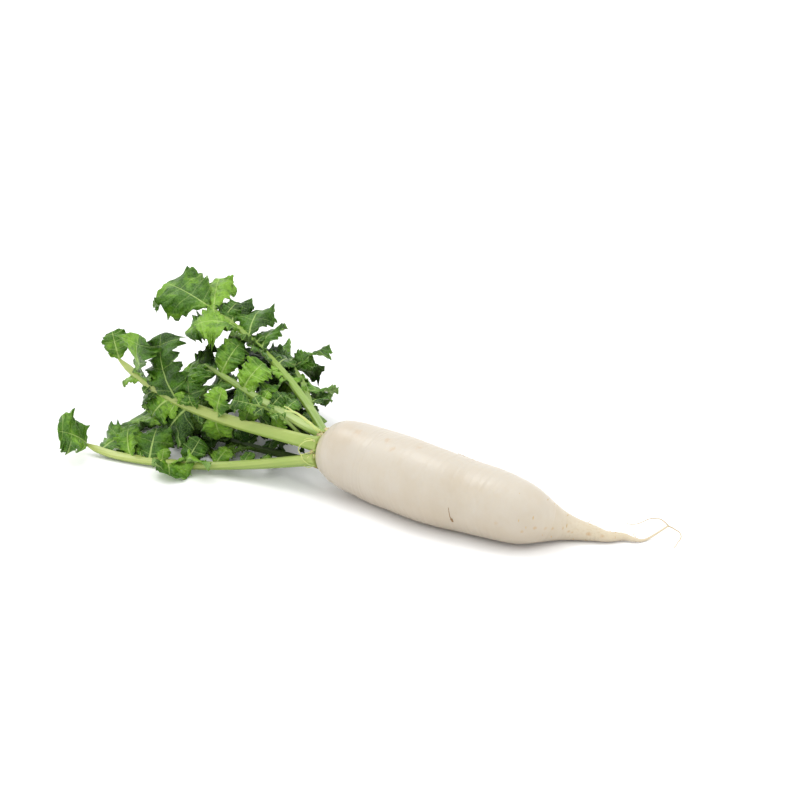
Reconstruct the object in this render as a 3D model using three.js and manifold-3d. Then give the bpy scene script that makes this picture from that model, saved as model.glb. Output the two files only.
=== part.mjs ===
// Daikon radish lying on its side: a long root, the crown at its top and the leaves that grow
// from the crown. Millimetres, +Z up. X runs along the root from the crown to the tail, and
// the origin is on the flat spot under the belly, on the surface that it lies on.

import * as THREE from 'three';
import { mergeVertices } from 'three/addons/utils/BufferGeometryUtils.js';
import Module from 'manifold-3d';

const wasm = await Module();
wasm.setup();

// ---- Driving dimensions ----

const pieceGap = 0.3;               // clear space between a leaf, the crown and the root
const floorClearance = 0.7;         // lowest height of the middle of a blade
const floorSoftness = 1.5;          // height over which a blade eases onto the surface

// Root: x, y, z of its axis and its radius, from the crown end to the tip of the tail.
const rootStations = [
  [-65.4, 3.4, 35.6, 13.8],
  [-63.8, 3.4, 35.6, 16.6],
  [-59.5, 3.4, 35.6, 21.0],
  [-52.5, 3.8, 35.8, 25.8],
  [-42.0, 4.8, 35.6, 29.3],
  [-27.0, 5.8, 33.5, 30.8],
  [-8.0, 4.0, 31.2, 32.1],
  [12.0, -1.4, 31.7, 32.3],
  [36.0, -7.7, 31.7, 32.2],
  [58.0, -10.7, 30.9, 31.4],
  [80.0, -11.0, 29.3, 29.7],
  [100.0, -12.6, 28.8, 28.6],
  [117.0, -13.2, 27.5, 27.2],
  [131.0, -11.4, 25.1, 24.9],
  [143.0, -2.0, 18.5, 18.3],
  [153.0, 6.2, 13.0, 12.8],
  [164.0, 12.0, 9.4, 9.1],
  [178.0, 17.0, 6.9, 6.5],
  [189.0, 19.7, 5.3, 4.5],
  [199.5, 28.0, 3.9, 3.2],
  [209.5, 29.9, 2.6, 1.7],
  [216.3, 37.3, 1.5, 1.1],
  [227.4, 57.7, 7.5, 0.8],
];
const rootSides = 21;               // odd, so that two of the sides' corners share the belly
const rootRings = 40;
const rootSwell = 0.012;            // share by which the skin's slow bumps leave the round
const swellWaves = [                // bumps round the root, and their turn along it in radians
  [2, 19],
  [3, -31],
];

// Crown: the short stem between root and leaves, a turned shape round the root's own axis.
const crownStart = -65.4 - pieceGap;
const crownCentre = [3.4, 35.6];    // y and z
const crownProfile = [              // distance towards the leaves, radius
  [0, 12.8],
  [2.0, 13.0],
  [4.6, 11.6],
  [7.2, 8.6],
  [9.0, 5.0],
];
const crownDome = 0.6;              // rise of its end over the last radius
const crownSides = 18;

// Blades. A lobe is split into columns across and two rows for each of its big teeth.
const bladeThickness = 0.8;
const toothDepth = 0.06;            // share of the half width by which a tooth stands out
const notchDepth = 0.12;            // share by which the notch between two teeth cuts in
const veinSlope = 0.36;             // how far the rows lean to the tip, as the side veins do
const roundBase = 0.7;              // powers of the outline towards the base and the tip
const roundTip = 0.5;
const tipShare = 0.06;              // half width of the blunt tip, as a share of the widest
const footShare = 0.55;             // half width of the foot, as a share of the stalk's
const footReach = 0.06;             // and at most this share of the lobe's length
const sideLobe = { columns: 2, teeth: 3, widthShare: 0.45, waves: 1.3 };
const smallLobe = { columns: 2, teeth: 2, widthShare: 0.44, waves: 1 };
const endLobe = { columns: 4, teeth: 4, widthShare: 0.48, waves: 1.7 };
const smallLobeLength = 16;         // side lobes shorter than this are small ones

// How far one lobe may differ from the next: shares of its size, and angles in radians.
const widthSpread = 0.18;
const leanSpread = 0.16;            // share that one side is wider than the other
const droopSpread = 0.5;
const rollSpread = 0.35;
const twistSpread = 0.35;
const foldRange = [0.05, 0.3];      // angle at which the two sides rise from the midrib
const curlRange = [0.1, 0.4];       // share of the half width by which the edges turn down
const ruffleRange = [0.2, 0.4];     // share of the half width by which the edges wave
const sidePhase = 0.4;              // share of a wave by which one edge is behind the other

// Stalks.
const stalkSides = 7;
const stalkSteps = 12;
const stalkFlatness = 0.8;          // thickness as a share of the width
const stalkEndShare = 0.36;         // half width at its end as a share of that at the crown
const stalkTaper = 0.45;
const baseFlare = 0.05;             // widening where a stalk clasps the crown
const flareLength = 0.04;           // share of the stalk over which that widening fades

// Lobes that a leaf grows by rule, in turn on one side and the other and longer to the tip.
const lastLobe = 0.97;              // share of the way along the stalk
const endLobeAt = 0.985;
const placeSpread = 0.8;            // share of a step by which a lobe may sit further on
const shortestLobe = 0.22;          // share of the length of the leaf's longest lobe
const lobeGrowth = 0.75;            // power of the growth from the shortest to the longest
const lengthSpread = 0.15;
const liftSpread = 24;              // degrees, as the next three
const sweepAtCrown = 62;
const sweepFall = 18;
const sweepSpread = 9;

// One row for each leaf. stalk holds the four points of its Bezier curve, face the direction
// its upper side looks at the crown and at the tip. lift raises the lobes on the two sides,
// in degrees, and droop bends them back over their length. endTurn lifts the end lobe off
// the line of the stalk, swings it sideways and rolls it about its midrib.
const leafTable = [
  { name: 'leaf_1', seed: 1, halfWidth: 5.8, end: 36, endTurn: [90, 0, 60],
    stalk: [[-67.3, -9, 31.1], [-152, -5, 5], [-231, -40, -3], [-293, -31, 9]],
    face: [[0, 0.83, 0.56], [-0.1, -0.7, 0.9]], droop: 0.8 },
  { name: 'leaf_2', seed: 22, halfWidth: 5.8, end: 28, endTurn: [75, 30, -30],
    stalk: [[-66.8, -6.4, 44.4], [-155, 4, 44], [-219, -2, 43], [-293, 24, 73]],
    face: [[0, -0.91, 0.41], [0, -0.8, 0.6]], droop: 0.9 },
  { name: 'leaf_3', seed: 353, halfWidth: 4.6, end: 40,
    stalk: [[-67.2, 4.8, 48.7], [-98, 5, 58], [-153, 30, 59], [-213, 49, 71]],
    face: [[0, -0.24, 0.97], [0, -0.7, 0.7]], droop: 0.8 },
  { name: 'leaf_4', seed: 64, halfWidth: 4.6, pairs: 6, firstLobe: 0.4, lobe: 48, end: 58,
    stalk: [[-68.8, 13.8, 43.7], [-101, 40, 59], [-165, 89, 79], [-241, 93, 111]],
    face: [[0, 0.6, 0.8], [0, -0.3, 0.9]], lift: [30, 20], droop: 0.8 },
  { name: 'leaf_5', seed: 75, halfWidth: 4.2, pairs: 6, firstLobe: 0.3, lobe: 50, end: 58,
    stalk: [[-67, 0.7, 22.7], [-120, 12, 20], [-190, 36, 4], [-250, 48, 10]],
    face: [[0, 0, 1], [0, -0.3, 1]], lift: [25, 45], droop: 0.7 },
  { name: 'leaf_6', seed: 196, halfWidth: 4.4, pairs: 6, firstLobe: 0.3, lobe: 52, end: 60,
    stalk: [[-67.6, 16.5, 34.0], [-98, 28, 42], [-120, 86, 56], [-178, 120, 62]],
    face: [[0, 1, 0.1], [0, -0.2, 1]], lift: [10, 10], droop: 0.9 },
  { name: 'leaf_7', seed: 337, halfWidth: 4.2, pairs: 6, firstLobe: 0.3, lobe: 47, end: 54,
    stalk: [[-67.6, 11.5, 25.2], [-100, 26, 28], [-130, 76, 22], [-198, 106, 30]],
    face: [[0, -0.7, 0.7], [0, -0.4, 1]], lift: [15, 15], droop: 0.8 },
  { name: 'leaf_8', seed: 28, halfWidth: 1.9, pairs: 3, firstLobe: 0.5, lobe: 13, end: 17,
    stalk: [[-69, 3.4, 35.6], [-97, 5, 42], [-95, 3, 64], [-136, -4, 68]],
    face: [[0, 0, 1], [0.3, -0.5, 0.8]], lift: [10, 10], droop: 0.5 },
];

// The lobes of the three lowest leaves, which stand free of the rest: where on the stalk, on
// which side, length, and their lift off the leaf's plane and sweep to its tip in degrees.
const placedLobes = {
  leaf_1: [
    [0.905, 1, 42, 0, 105],
    [0.745, 1, 32, 55, 60],
    [0.665, 1, 34, 60, 95],
    [0.585, -1, 34, 25, 120],
    [0.51, 1, 27, 80, 120],
    [0.48, -1, 29, 45, 130],
    [0.39, 1, 21, 75, 115],
    [0.28, 1, 14, 80, 105],
    [0.21, 1, 11, 80, 105],
  ],
  leaf_2: [
    [0.785, 1, 52, 75, 55],
    [0.685, 1, 36, 25, 35],
    [0.64, 1, 64, 60, 60],
    [0.57, 1, 38, 40, 60],
    [0.54, 1, 32, 60, 65],
    [0.44, 1, 28, 40, 95],
    [0.31, 1, 20, 35, 110],
    [0.845, -1, 22, 20, 20],
    [0.74, -1, 26, 25, 30],
    [0.68, -1, 32, 20, 65],
    [0.58, -1, 42, -5, 55],
    [0.45, -1, 30, -40, 90],
    [0.325, -1, 20, -10, 90],
  ],
  leaf_3: [
    [0.92, -1, 44, 0, 15],
    [0.78, -1, 41, 0, 15],
    [0.89, 1, 36, 30, 90],
    [0.715, 1, 30, 40, 100],
    [0.655, -1, 15, -25, 40],
    [0.59, -1, 15, 5, 120],
    [0.48, 1, 16, 60, 120],
    [0.66, -1, 32, -50, 60],
    [0.54, -1, 28, -55, 70],
    [0.42, -1, 24, -55, 80],
    [0.6, 1, 24, 0, 80],
    [0.5, 1, 22, 10, 85],
    [0.38, 1, 18, 20, 90],
  ],
};

// ---- Solids ----

function toSolid(geometry) {
  const bare = geometry.index ? geometry.clone() : geometry;
  bare.deleteAttribute('normal');
  bare.deleteAttribute('uv');
  const merged = mergeVertices(bare, 1e-4);
  return new wasm.Manifold(new wasm.Mesh({
    numProp: 3,
    vertProperties: new Float32Array(merged.attributes.position.array),
    triVerts: new Uint32Array(merged.index.array),
  }));
}

function toGeometry(solid) {
  const mesh = solid.getMesh();
  const geometry = new THREE.BufferGeometry();
  geometry.setAttribute('position', new THREE.BufferAttribute(mesh.vertProperties, 3));
  geometry.setIndex(new THREE.BufferAttribute(mesh.triVerts, 1));
  geometry.computeVertexNormals();
  return geometry;
}

function largestBody(solid) {
  const bodies = solid.decompose();
  return bodies.reduce((best, body) => (body.volume() > best.volume() ? body : best));
}

// Bends a unit cylinder: place(share, across, over) gives the point for a share of the way
// along and the two round coordinates, each from -1 to 1.
function bentCylinder(sides, steps, place) {
  const geometry = new THREE.CylinderGeometry(1, 1, 1, sides, steps);
  const position = geometry.attributes.position;
  for (let i = 0; i < position.count; i += 1) {
    const point = place(position.getY(i) + 0.5, position.getX(i), position.getZ(i));
    position.setXYZ(i, point.x, point.y, point.z);
  }
  return toSolid(geometry);
}

// ---- Rules shared by the pieces ----

// An even draw from 0 to 1 that depends on the seed and the index alone.
function draw(seed, index) {
  const wave = Math.sin(seed * 12.9898 + index * 78.233) * 43758.5453;
  return wave - Math.floor(wave);
}

function spread(seed, index, reach) {
  return (draw(seed, index) * 2 - 1) * reach;
}

function aboveFloor(height, lowest) {
  const over = height - lowest;
  return lowest + (over + Math.sqrt(over * over + floorSoftness * floorSoftness)) / 2;
}

// The frame of a curve at t: its direction, the way its upper side looks, and its side.
function frameAt(curve, t, facing) {
  const point = curve.getPoint(t);
  const along = curve.getTangent(t);
  const over = facing.clone().addScaledVector(along, -facing.dot(along)).normalize();
  const across = along.clone().cross(over);
  return { point, along, over, across };
}

// ---- Root ----

const rootAxis = new THREE.CatmullRomCurve3(
  rootStations.map(([x, y, z]) => new THREE.Vector3(x, y, z)), false, 'catmullrom', 0.5);
const rootRadii = new THREE.CatmullRomCurve3(
  rootStations.map((station) => new THREE.Vector3(station[3], 0, 0)), false, 'catmullrom', 0.5);
const up = new THREE.Vector3(0, 0, 1);

function rootSkin(share, across, over) {
  const frame = frameAt(rootAxis, share, up);
  const angle = Math.atan2(across, over);
  const topShare = (1 + over) / 2;
  const swell = swellWaves.reduce((sum, [count, turn]) => (
    sum + Math.sin(count * angle + turn * share)), 0);
  const radius = rootRadii.getPoint(share).x * (1 + rootSwell * swell * topShare);
  const point = frame.point.clone();
  point.addScaledVector(frame.across, across * radius);
  point.addScaledVector(frame.over, over * radius);
  return point;
}

function makeRoot() {
  return bentCylinder(rootSides, rootRings, (share, across, over) => {
    const middle = across === 0 && over === 0;
    const point = middle ? rootAxis.getPoint(share) : rootSkin(share, across, over);
    point.z = Math.max(point.z, 0);
    return point;
  });
}

// ---- Crown ----

function makeCrown(growth) {
  const profile = [new THREE.Vector2(0, -growth)];
  for (const [height, radius] of crownProfile) {
    profile.push(new THREE.Vector2(radius + growth, height === 0 ? -growth : height + growth));
  }
  profile.push(new THREE.Vector2(0, crownProfile.at(-1)[0] + crownDome + growth));
  const geometry = new THREE.LatheGeometry(profile, crownSides);
  geometry.rotateZ(Math.PI / 2);
  geometry.translate(crownStart, crownCentre[0], crownCentre[1]);
  return toSolid(geometry);
}

// ---- Leaves ----

// side is -1 or 1, or 0 for the mean of both.
function lobeHalfWidth(lobe, u, side) {
  const peak = roundBase / (roundBase + roundTip);
  const rise = (u / peak) ** roundBase;
  const fall = ((1 - u) / (1 - peak)) ** roundTip;
  const beat = 1 - Math.abs(2 * ((u * lobe.teeth) % 1) - 1);
  const tooth = 1 - notchDepth + (toothDepth + notchDepth) * beat;
  const widest = lobe.halfWidth * (1 + side * lobe.lean);
  return widest * (rise * fall * tooth + tipShare * u * u) + lobe.footHalfWidth * (1 - u) ** 2;
}

// The middle of a blade at u, from 0 at its foot to 1 at its tip, and v, from -1 to 1 across.
function lobePoint(lobe, u, v) {
  const turn = lobe.droop * u;
  const reach = lobe.length * Math.sin(turn) / lobe.droop;
  const drop = lobe.length * (1 - Math.cos(turn)) / lobe.droop;
  const along = lobe.along.clone().multiplyScalar(Math.cos(turn));
  along.addScaledVector(lobe.over, -Math.sin(turn));
  const flat = lobe.over.clone().multiplyScalar(Math.cos(turn));
  flat.addScaledVector(lobe.along, Math.sin(turn));
  const side = along.clone().cross(flat);
  const twist = lobe.twist * u;
  const across = side.clone().multiplyScalar(Math.cos(twist)).addScaledVector(flat, Math.sin(twist));
  const over = flat.clone().multiplyScalar(Math.cos(twist)).addScaledVector(side, -Math.sin(twist));
  const half = lobeHalfWidth(lobe, u, Math.sign(v));
  const edge = Math.abs(v) * half;
  const wave = Math.sin(2 * Math.PI * (lobe.waves * u + lobe.phase + (v < 0 ? sidePhase : 0)));
  const bend = lobe.ruffle * wave - lobe.curl;
  const rise = edge * Math.sin(lobe.fold) + v * v * half * bend;
  const point = lobe.origin.clone();
  point.addScaledVector(lobe.along, reach).addScaledVector(lobe.over, -drop);
  point.addScaledVector(across, v * half * Math.cos(lobe.fold));
  point.addScaledVector(over, rise);
  point.addScaledVector(along, edge * veinSlope * (1 - u));
  point.z = aboveFloor(point.z, floorClearance);
  return point;
}

// A blade of even thickness, split into triangles alike on both faces.
function makeBlade(lobe) {
  const rows = lobe.teeth * 2;
  const sheet = new THREE.PlaneGeometry(1, 1, lobe.columns, rows);
  const middle = sheet.attributes.position;
  for (let i = 0; i < middle.count; i += 1) {
    const point = lobePoint(lobe, 0.5 - middle.getY(i), middle.getX(i) * 2);
    middle.setXYZ(i, point.x, point.y, point.z);
  }
  sheet.computeVertexNormals();
  const normal = sheet.attributes.normal;
  const count = middle.count;
  const corners = [];
  for (const half of [bladeThickness / 2, -bladeThickness / 2]) {
    for (let i = 0; i < count; i += 1) {
      corners.push(middle.getX(i) + normal.getX(i) * half);
      corners.push(middle.getY(i) + normal.getY(i) * half);
      corners.push(middle.getZ(i) + normal.getZ(i) * half);
    }
  }
  const top = Array.from(sheet.index.array);
  const edges = new Set();
  for (let i = 0; i < top.length; i += 3) {
    for (let k = 0; k < 3; k += 1) {
      edges.add(`${top[i + k]} ${top[i + (k + 1) % 3]}`);
    }
  }
  const triangles = [...top];
  for (let i = 0; i < top.length; i += 3) {
    triangles.push(top[i + 2] + count, top[i + 1] + count, top[i] + count);
  }
  for (const edge of edges) {
    const [from, to] = edge.split(' ').map(Number);
    if (!edges.has(`${to} ${from}`)) {
      triangles.push(to, from, from + count);
      triangles.push(to, from + count, to + count);
    }
  }
  const blade = new THREE.BufferGeometry();
  blade.setAttribute('position', new THREE.Float32BufferAttribute(corners, 3));
  blade.setIndex(triangles);
  return toSolid(blade);
}

function stalkHalfWidth(leaf, t) {
  const taper = stalkEndShare + (1 - stalkEndShare) * (1 - t) ** stalkTaper;
  return leaf.halfWidth * taper * (1 + baseFlare * Math.exp(-t / flareLength));
}

function leafFrame(leaf, t) {
  const curve = new THREE.CubicBezierCurve3(...leaf.stalk.map((p) => new THREE.Vector3(...p)));
  const facing = new THREE.Vector3(...leaf.face[0]).lerp(new THREE.Vector3(...leaf.face[1]), t);
  return frameAt(curve, t, facing);
}

function makeStalk(leaf) {
  return bentCylinder(stalkSides, stalkSteps, (share, across, over) => {
    const frame = leafFrame(leaf, share);
    const half = stalkHalfWidth(leaf, share);
    const point = frame.point.clone();
    point.z = aboveFloor(point.z, half);
    point.addScaledVector(frame.across, across * half);
    point.addScaledVector(frame.over, over * half * stalkFlatness);
    return point;
  });
}

function between(range, share) {
  return THREE.MathUtils.lerp(range[0], range[1], share);
}

// The first vector turned towards the second by an angle in radians.
function turned(first, second, angle) {
  const result = first.clone().multiplyScalar(Math.cos(angle));
  return result.addScaledVector(second, Math.sin(angle));
}

// A lobe with its midrib along the first way and its upper side the second way.
function shapeLobe(leaf, kind, t, length, along, flat, seed) {
  const stalkHalf = stalkHalfWidth(leaf, t);
  const origin = leafFrame(leaf, t).point;
  origin.z = aboveFloor(origin.z, stalkHalf);
  return {
    ...kind, origin, along, length,
    over: turned(flat, along.clone().cross(flat), spread(seed, 3, rollSpread)),
    halfWidth: length * kind.widthShare * (1 + spread(seed, 4, widthSpread)),
    lean: spread(seed, 13, leanSpread),
    footHalfWidth: Math.min(stalkHalf * footShare, length * footReach),
    droop: leaf.droop * (1 + spread(seed, 5, droopSpread)),
    twist: spread(seed, 6, twistSpread),
    fold: between(foldRange, draw(seed, 7)),
    curl: between(curlRange, draw(seed, 8)),
    ruffle: between(ruffleRange, draw(seed, 9)),
    phase: draw(seed, 10),
  };
}

function makeEndLobe(leaf, seed) {
  const { along, over, across } = leafFrame(leaf, endLobeAt);
  const [rise, swing, roll] = (leaf.endTurn ?? [0, 0, 0]).map(THREE.MathUtils.degToRad);
  const raised = turned(along, over, rise);
  const raisedFlat = turned(over, along.clone().negate(), rise);
  const ahead = turned(raised, across, swing);
  const beside = turned(across, raised.clone().negate(), swing);
  return shapeLobe(leaf, endLobe, endLobeAt, leaf.end, ahead, turned(raisedFlat, beside, roll), seed);
}

function makeSideLobe(leaf, [t, side, length, lift, sweep], seed) {
  const { along, over, across } = leafFrame(leaf, t);
  const rise = THREE.MathUtils.degToRad(lift);
  const outward = turned(across.clone().multiplyScalar(side), over, rise);
  const flat = turned(over, across.clone().multiplyScalar(-side), rise);
  const ahead = turned(along, outward, THREE.MathUtils.degToRad(sweep));
  const kind = length < smallLobeLength ? smallLobe : sideLobe;
  return shapeLobe(leaf, kind, t, length, ahead, flat, seed);
}

// Rows like those of placedLobes, for a leaf that grows its lobes by rule.
function grownLobes(leaf, firstSeed) {
  const count = leaf.pairs * 2;
  const rows = [];
  for (let k = 0; k < count; k += 1) {
    const seed = firstSeed + k;
    const share = (k + draw(seed, 11) * placeSpread) / count;
    const t = leaf.firstLobe + (lastLobe - leaf.firstLobe) * share;
    const growth = shortestLobe + (1 - shortestLobe) * share ** lobeGrowth;
    const length = leaf.lobe * growth * (1 + spread(seed, 12, lengthSpread));
    const lift = leaf.lift[k % 2] + spread(seed, 1, liftSpread);
    const sweep = sweepAtCrown - sweepFall * t + spread(seed, 2, sweepSpread);
    rows.push([t, k % 2 === 0 ? -1 : 1, length, lift, sweep]);
  }
  return rows;
}

function leafLobes(leaf) {
  const first = leaf.seed * 100;
  const rows = placedLobes[leaf.name] ?? grownLobes(leaf, first + 1);
  const sides = rows.map((row, k) => makeSideLobe(leaf, row, first + 1 + k));
  return [makeEndLobe(leaf, first), ...sides];
}

function makeLeaf(leaf) {
  let solid = makeStalk(leaf);
  for (const lobe of leafLobes(leaf)) {
    solid = solid.add(makeBlade(lobe));
  }
  return solid;
}

// ---- The object ----

const materials = {
  root: new THREE.MeshStandardMaterial({ color: '#e8dfd2', roughness: 0.5, metalness: 0 }),
  crown: new THREE.MeshStandardMaterial({ color: '#c3c98a', roughness: 0.6, metalness: 0 }),
  leaf: new THREE.MeshStandardMaterial({ color: '#4f8a35', roughness: 0.55, metalness: 0 }),
};

function addPiece(group, name, solid, material) {
  const mesh = new THREE.Mesh(toGeometry(solid), material.clone());
  mesh.name = name;
  group.add(mesh);
}

const radish = new THREE.Group();
addPiece(radish, 'root', makeRoot(), materials.root);
addPiece(radish, 'crown', makeCrown(0), materials.crown);
const crownRoom = makeCrown(pieceGap);
for (const leaf of leafTable) {
  addPiece(radish, leaf.name, largestBody(makeLeaf(leaf).subtract(crownRoom)), materials.leaf);
}

export default radish;
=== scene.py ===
"""A daikon radish lying on its side.

The frame holds the solids. This script gives the root its skin, scars and hairs, the crown its
scales and fibres, and each leaf a ribbed stalk and thin veined blades. The root, the stalks and
the lobes follow the same rules as the solids.
"""

import math

import bmesh
import bpy
import numpy as np
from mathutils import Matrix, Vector


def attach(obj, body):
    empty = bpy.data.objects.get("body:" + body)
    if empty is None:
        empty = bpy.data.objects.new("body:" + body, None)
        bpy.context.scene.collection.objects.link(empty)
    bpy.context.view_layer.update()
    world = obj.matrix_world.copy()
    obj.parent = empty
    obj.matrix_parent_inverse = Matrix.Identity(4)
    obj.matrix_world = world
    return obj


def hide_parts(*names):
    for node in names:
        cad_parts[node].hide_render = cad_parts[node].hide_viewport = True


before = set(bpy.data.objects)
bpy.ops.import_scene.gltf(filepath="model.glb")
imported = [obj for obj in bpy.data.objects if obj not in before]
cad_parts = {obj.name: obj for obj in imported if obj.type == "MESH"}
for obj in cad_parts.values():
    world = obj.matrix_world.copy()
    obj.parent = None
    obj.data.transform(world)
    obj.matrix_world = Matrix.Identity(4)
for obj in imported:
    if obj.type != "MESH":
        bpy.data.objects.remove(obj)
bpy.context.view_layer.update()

MM = 0.001                          # the shapes below are in millimetres, the scene in metres

# ---- Root ----
# x, y, z of the axis and the radius, from the crown end to the tip of the tail.
ROOT_STATIONS = [
    (-65.4, 3.4, 35.6, 13.8),
    (-63.8, 3.4, 35.6, 16.6),
    (-59.5, 3.4, 35.6, 21.0),
    (-52.5, 3.8, 35.8, 25.8),
    (-42.0, 4.8, 35.6, 29.3),
    (-27.0, 5.8, 33.5, 30.8),
    (-8.0, 4.0, 31.2, 32.1),
    (12.0, -1.4, 31.7, 32.3),
    (36.0, -7.7, 31.7, 32.2),
    (58.0, -10.7, 30.9, 31.4),
    (80.0, -11.0, 29.3, 29.7),
    (100.0, -12.6, 28.8, 28.6),
    (117.0, -13.2, 27.5, 27.2),
    (131.0, -11.4, 25.1, 24.9),
    (143.0, -2.0, 18.5, 18.3),
    (153.0, 6.2, 13.0, 12.8),
    (164.0, 12.0, 9.4, 9.1),
    (178.0, 17.0, 6.9, 6.5),
    (189.0, 19.7, 5.3, 4.5),
    (199.5, 28.0, 3.9, 3.2),
    (209.5, 29.9, 2.6, 1.7),
    (216.3, 37.3, 1.5, 1.1),
    (227.4, 57.7, 7.5, 0.8),
]
ROOT_SWELL = 0.012                  # share by which the slow bumps leave the round
SWELL_TURNS = (19, 31)              # radians that the bumps turn along the root
ROOT_RINGS = 520
ROOT_SIDES = 150
FULL_GIRTH = 33                     # radius at which the fine rings are at their full height
RINGS = dict(seed=3, waves=5, shortest=3.5, longest=11)
TAIL_RINGS = dict(seed=8, waves=4, shortest=2.6, longest=5)
RING_HEIGHTS = (0.085, 0.11)        # on the body and on the tail
RING_WANDERS = (2.2, 0.8)           # how far a ring strays along the root, body and tail
TAIL_RADII = (1.5, 4, 14)           # the tail's rings: none below, full at, none from

# Hairs: points that each one passes, and its half width at both ends.
TAIL_HAIRS = [
    ([(226.4, 57.0, 7.3), (231.5, 56.3, 6.8), (237.4, 54.4, 5.4), (240.9, 50.0, 3.6),
      (241.2, 42.4, 1.6), (240.8, 34.6, 0.5)], (0.7, 0.3)),
    ([(227.0, 57.4, 7.6), (222.2, 60.0, 9.0), (217.6, 60.6, 10.0), (212.0, 59.4, 9.5),
      (206.7, 57.6, 7.0), (201.3, 56.2, 4.0), (195.4, 55.9, 2.0), (190.0, 58.5, 0.9)],
     (0.62, 0.26)),
    ([(205.0, 30.0, 2.6), (207.0, 36.0, 1.9), (203.0, 43.0, 0.6), (206.0, 50.0, 0.4)],
     (0.4, 0.12)),
    ([(190.0, 20.5, 8.9), (193.0, 24.5, 11.6), (197.5, 27.0, 12.4)], (0.3, 0.1)),
    ([(171.0, 17.0, 13.2), (174.0, 22.5, 15.2), (180.0, 26.0, 15.8), (184.0, 27.0, 14.6)],
     (0.32, 0.1)),
]
# How far the hairs and fibres stray from their lines, in metres, and how closely.
HAIR_KINK = dict(Sides=8, Kink=0.0022, Kink_Scale=110.0)
CRACK_KINK = dict(Sides=8, Kink=0.001, Kink_Scale=300.0)
FIBRE_KINK = dict(Sides=8, Kink=0.0012, Kink_Scale=140.0)
# Hairs and cracks that lie on the skin: share of the way along the root and angle round it.
SKIN_HAIR = [(0.412, 332), (0.43, 334), (0.448, 339), (0.466, 334), (0.484, 331)]
SKIN_CRACK = [(0.4455, 87), (0.448, 96), (0.45, 103), (0.4535, 108)]
SKIN_PIT = [(0.4525, 106), (0.454, 109), (0.4555, 112)]     # where the crack ends
# Their half widths at both ends, and how deep they sit in the skin.
SKIN_HAIR_HALVES = (0.3, 0.14)
SKIN_CRACK_HALVES = (0.2, 0.42)
SKIN_CRACK_DEPTH = 0.12
SKIN_PIT_HALVES = (1.15, 0.9)
SKIN_PIT_DEPTH = 0.35
# Cross scars: chance on the body and on the tail, and where along the root it changes.
SCAR_CHANCES = (0.004, 0.9)
SCAR_TAIL = (128, 158)
SCAR_ENDS = (-60, 200)
SCARS = dict(Density=7000.0, Seed=11, Size=0.0016)
# Tan smudges and spots on the skin: centre, reach and strength.
SMUDGES = [
    ((-27.7, -4.0, 62.5), 5.0, 0.42),
    ((2.7, -7.0, 62.5), 5.5, 0.42),
    ((12.0, -17.5, 60.1), 4.0, 0.42),
    ((34.5, -11.6, 64.3), 4.5, 0.42),
    ((117.4, -40.7, 27.0), 3.6, 0.5),
    ((138.1, -35.4, 21.8), 2.0, 0.8),
    ((146.9, -29.7, 24.5), 2.3, 0.95),
    ((152.5, -21.8, 21.8), 2.4, 0.85),
    ((155.8, -14.4, 19.7), 2.0, 0.95),
    ((160.5, -4.3, 16.9), 2.0, 0.8),
    ((163.7, 0.3, 12.4), 2.4, 0.95),
    ((165.7, 2.1, 11.1), 1.8, 0.95),
    ((177.1, 9.5, 9.0), 2.6, 1.0),
    ((187.0, 14.0, 7.5), 2.2, 0.9),
]

# ---- Crown ----
CROWN_START = -65.7
CROWN_CENTRE = (3.4, 35.6)
# How far past its start, and the radius there.
CROWN_PROFILE = [(0, 12.8), (2.0, 13.0), (4.6, 11.6), (7.2, 8.6), (9.0, 5.0)]
CROWN_TOP = 9.6
CROWN_TIP_RADIUS = 0.2
CROWN_RINGS = 40
CROWN_SIDES = 120
# Papery scales, the feet of leaves that fell off.
SCALE_COUNT = 30
SCALE_RADII = (12.0, 16.2)          # from the crown's axis
SCALE_LENGTHS = (4.5, 11.0)
SCALE_LEANS = (-0.1, 0.5)           # outwards, as a slope
SCALE_TURN = 0.45                   # sideways, as a slope
SCALE_LIFT = 0.8                    # of its foot off the shoulder of the root
SCALE_DROOPS = (-0.5, 0.9)
SCALE_FOLDS = (0.1, 0.6)
SCALE_SEED = 900
SCALE = dict(teeth=2, width_share=0.36, waves=0.8, rows=14, columns=8, foot_half_width=1.9,
             curl=0.2, ruffle=0.35)
# Pale fibres between the feet of the leaves: points that each one passes, and its half width
# at the foot, of which half is left at the tip.
FIBRES = [
    ([(-64.8, -15, 52.0), (-73.7, -15, 48.4), (-79.2, -15, 41.7), (-76.9, -15, 36.7),
      (-69.9, -15, 39.0), (-63.0, -14, 43.2)], 0.55),
    ([(-76.6, -15.5, 36.9), (-74.7, -15.5, 31.7), (-69.9, -15.5, 29.1), (-64.5, -14, 28.0)], 0.5),
    ([(-67.0, -1, 54.5), (-69.8, -3, 57.5), (-77.5, -3, 62.4), (-84.3, -3, 66.1),
      (-91.2, -3, 68.0), (-99.1, -3, 67.8)], 1.7),
    ([(-90.2, -3, 67.6), (-96.1, -3, 70.7), (-100.0, -3, 71.3)], 0.9),
    ([(-65.5, -8, 47.5), (-71.0, -11, 50.5), (-75.5, -12.5, 49.0)], 0.5),
    ([(-65.0, -11, 27.0), (-70.0, -15, 25.5), (-73.0, -17, 27.5)], 0.45),
]

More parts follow.
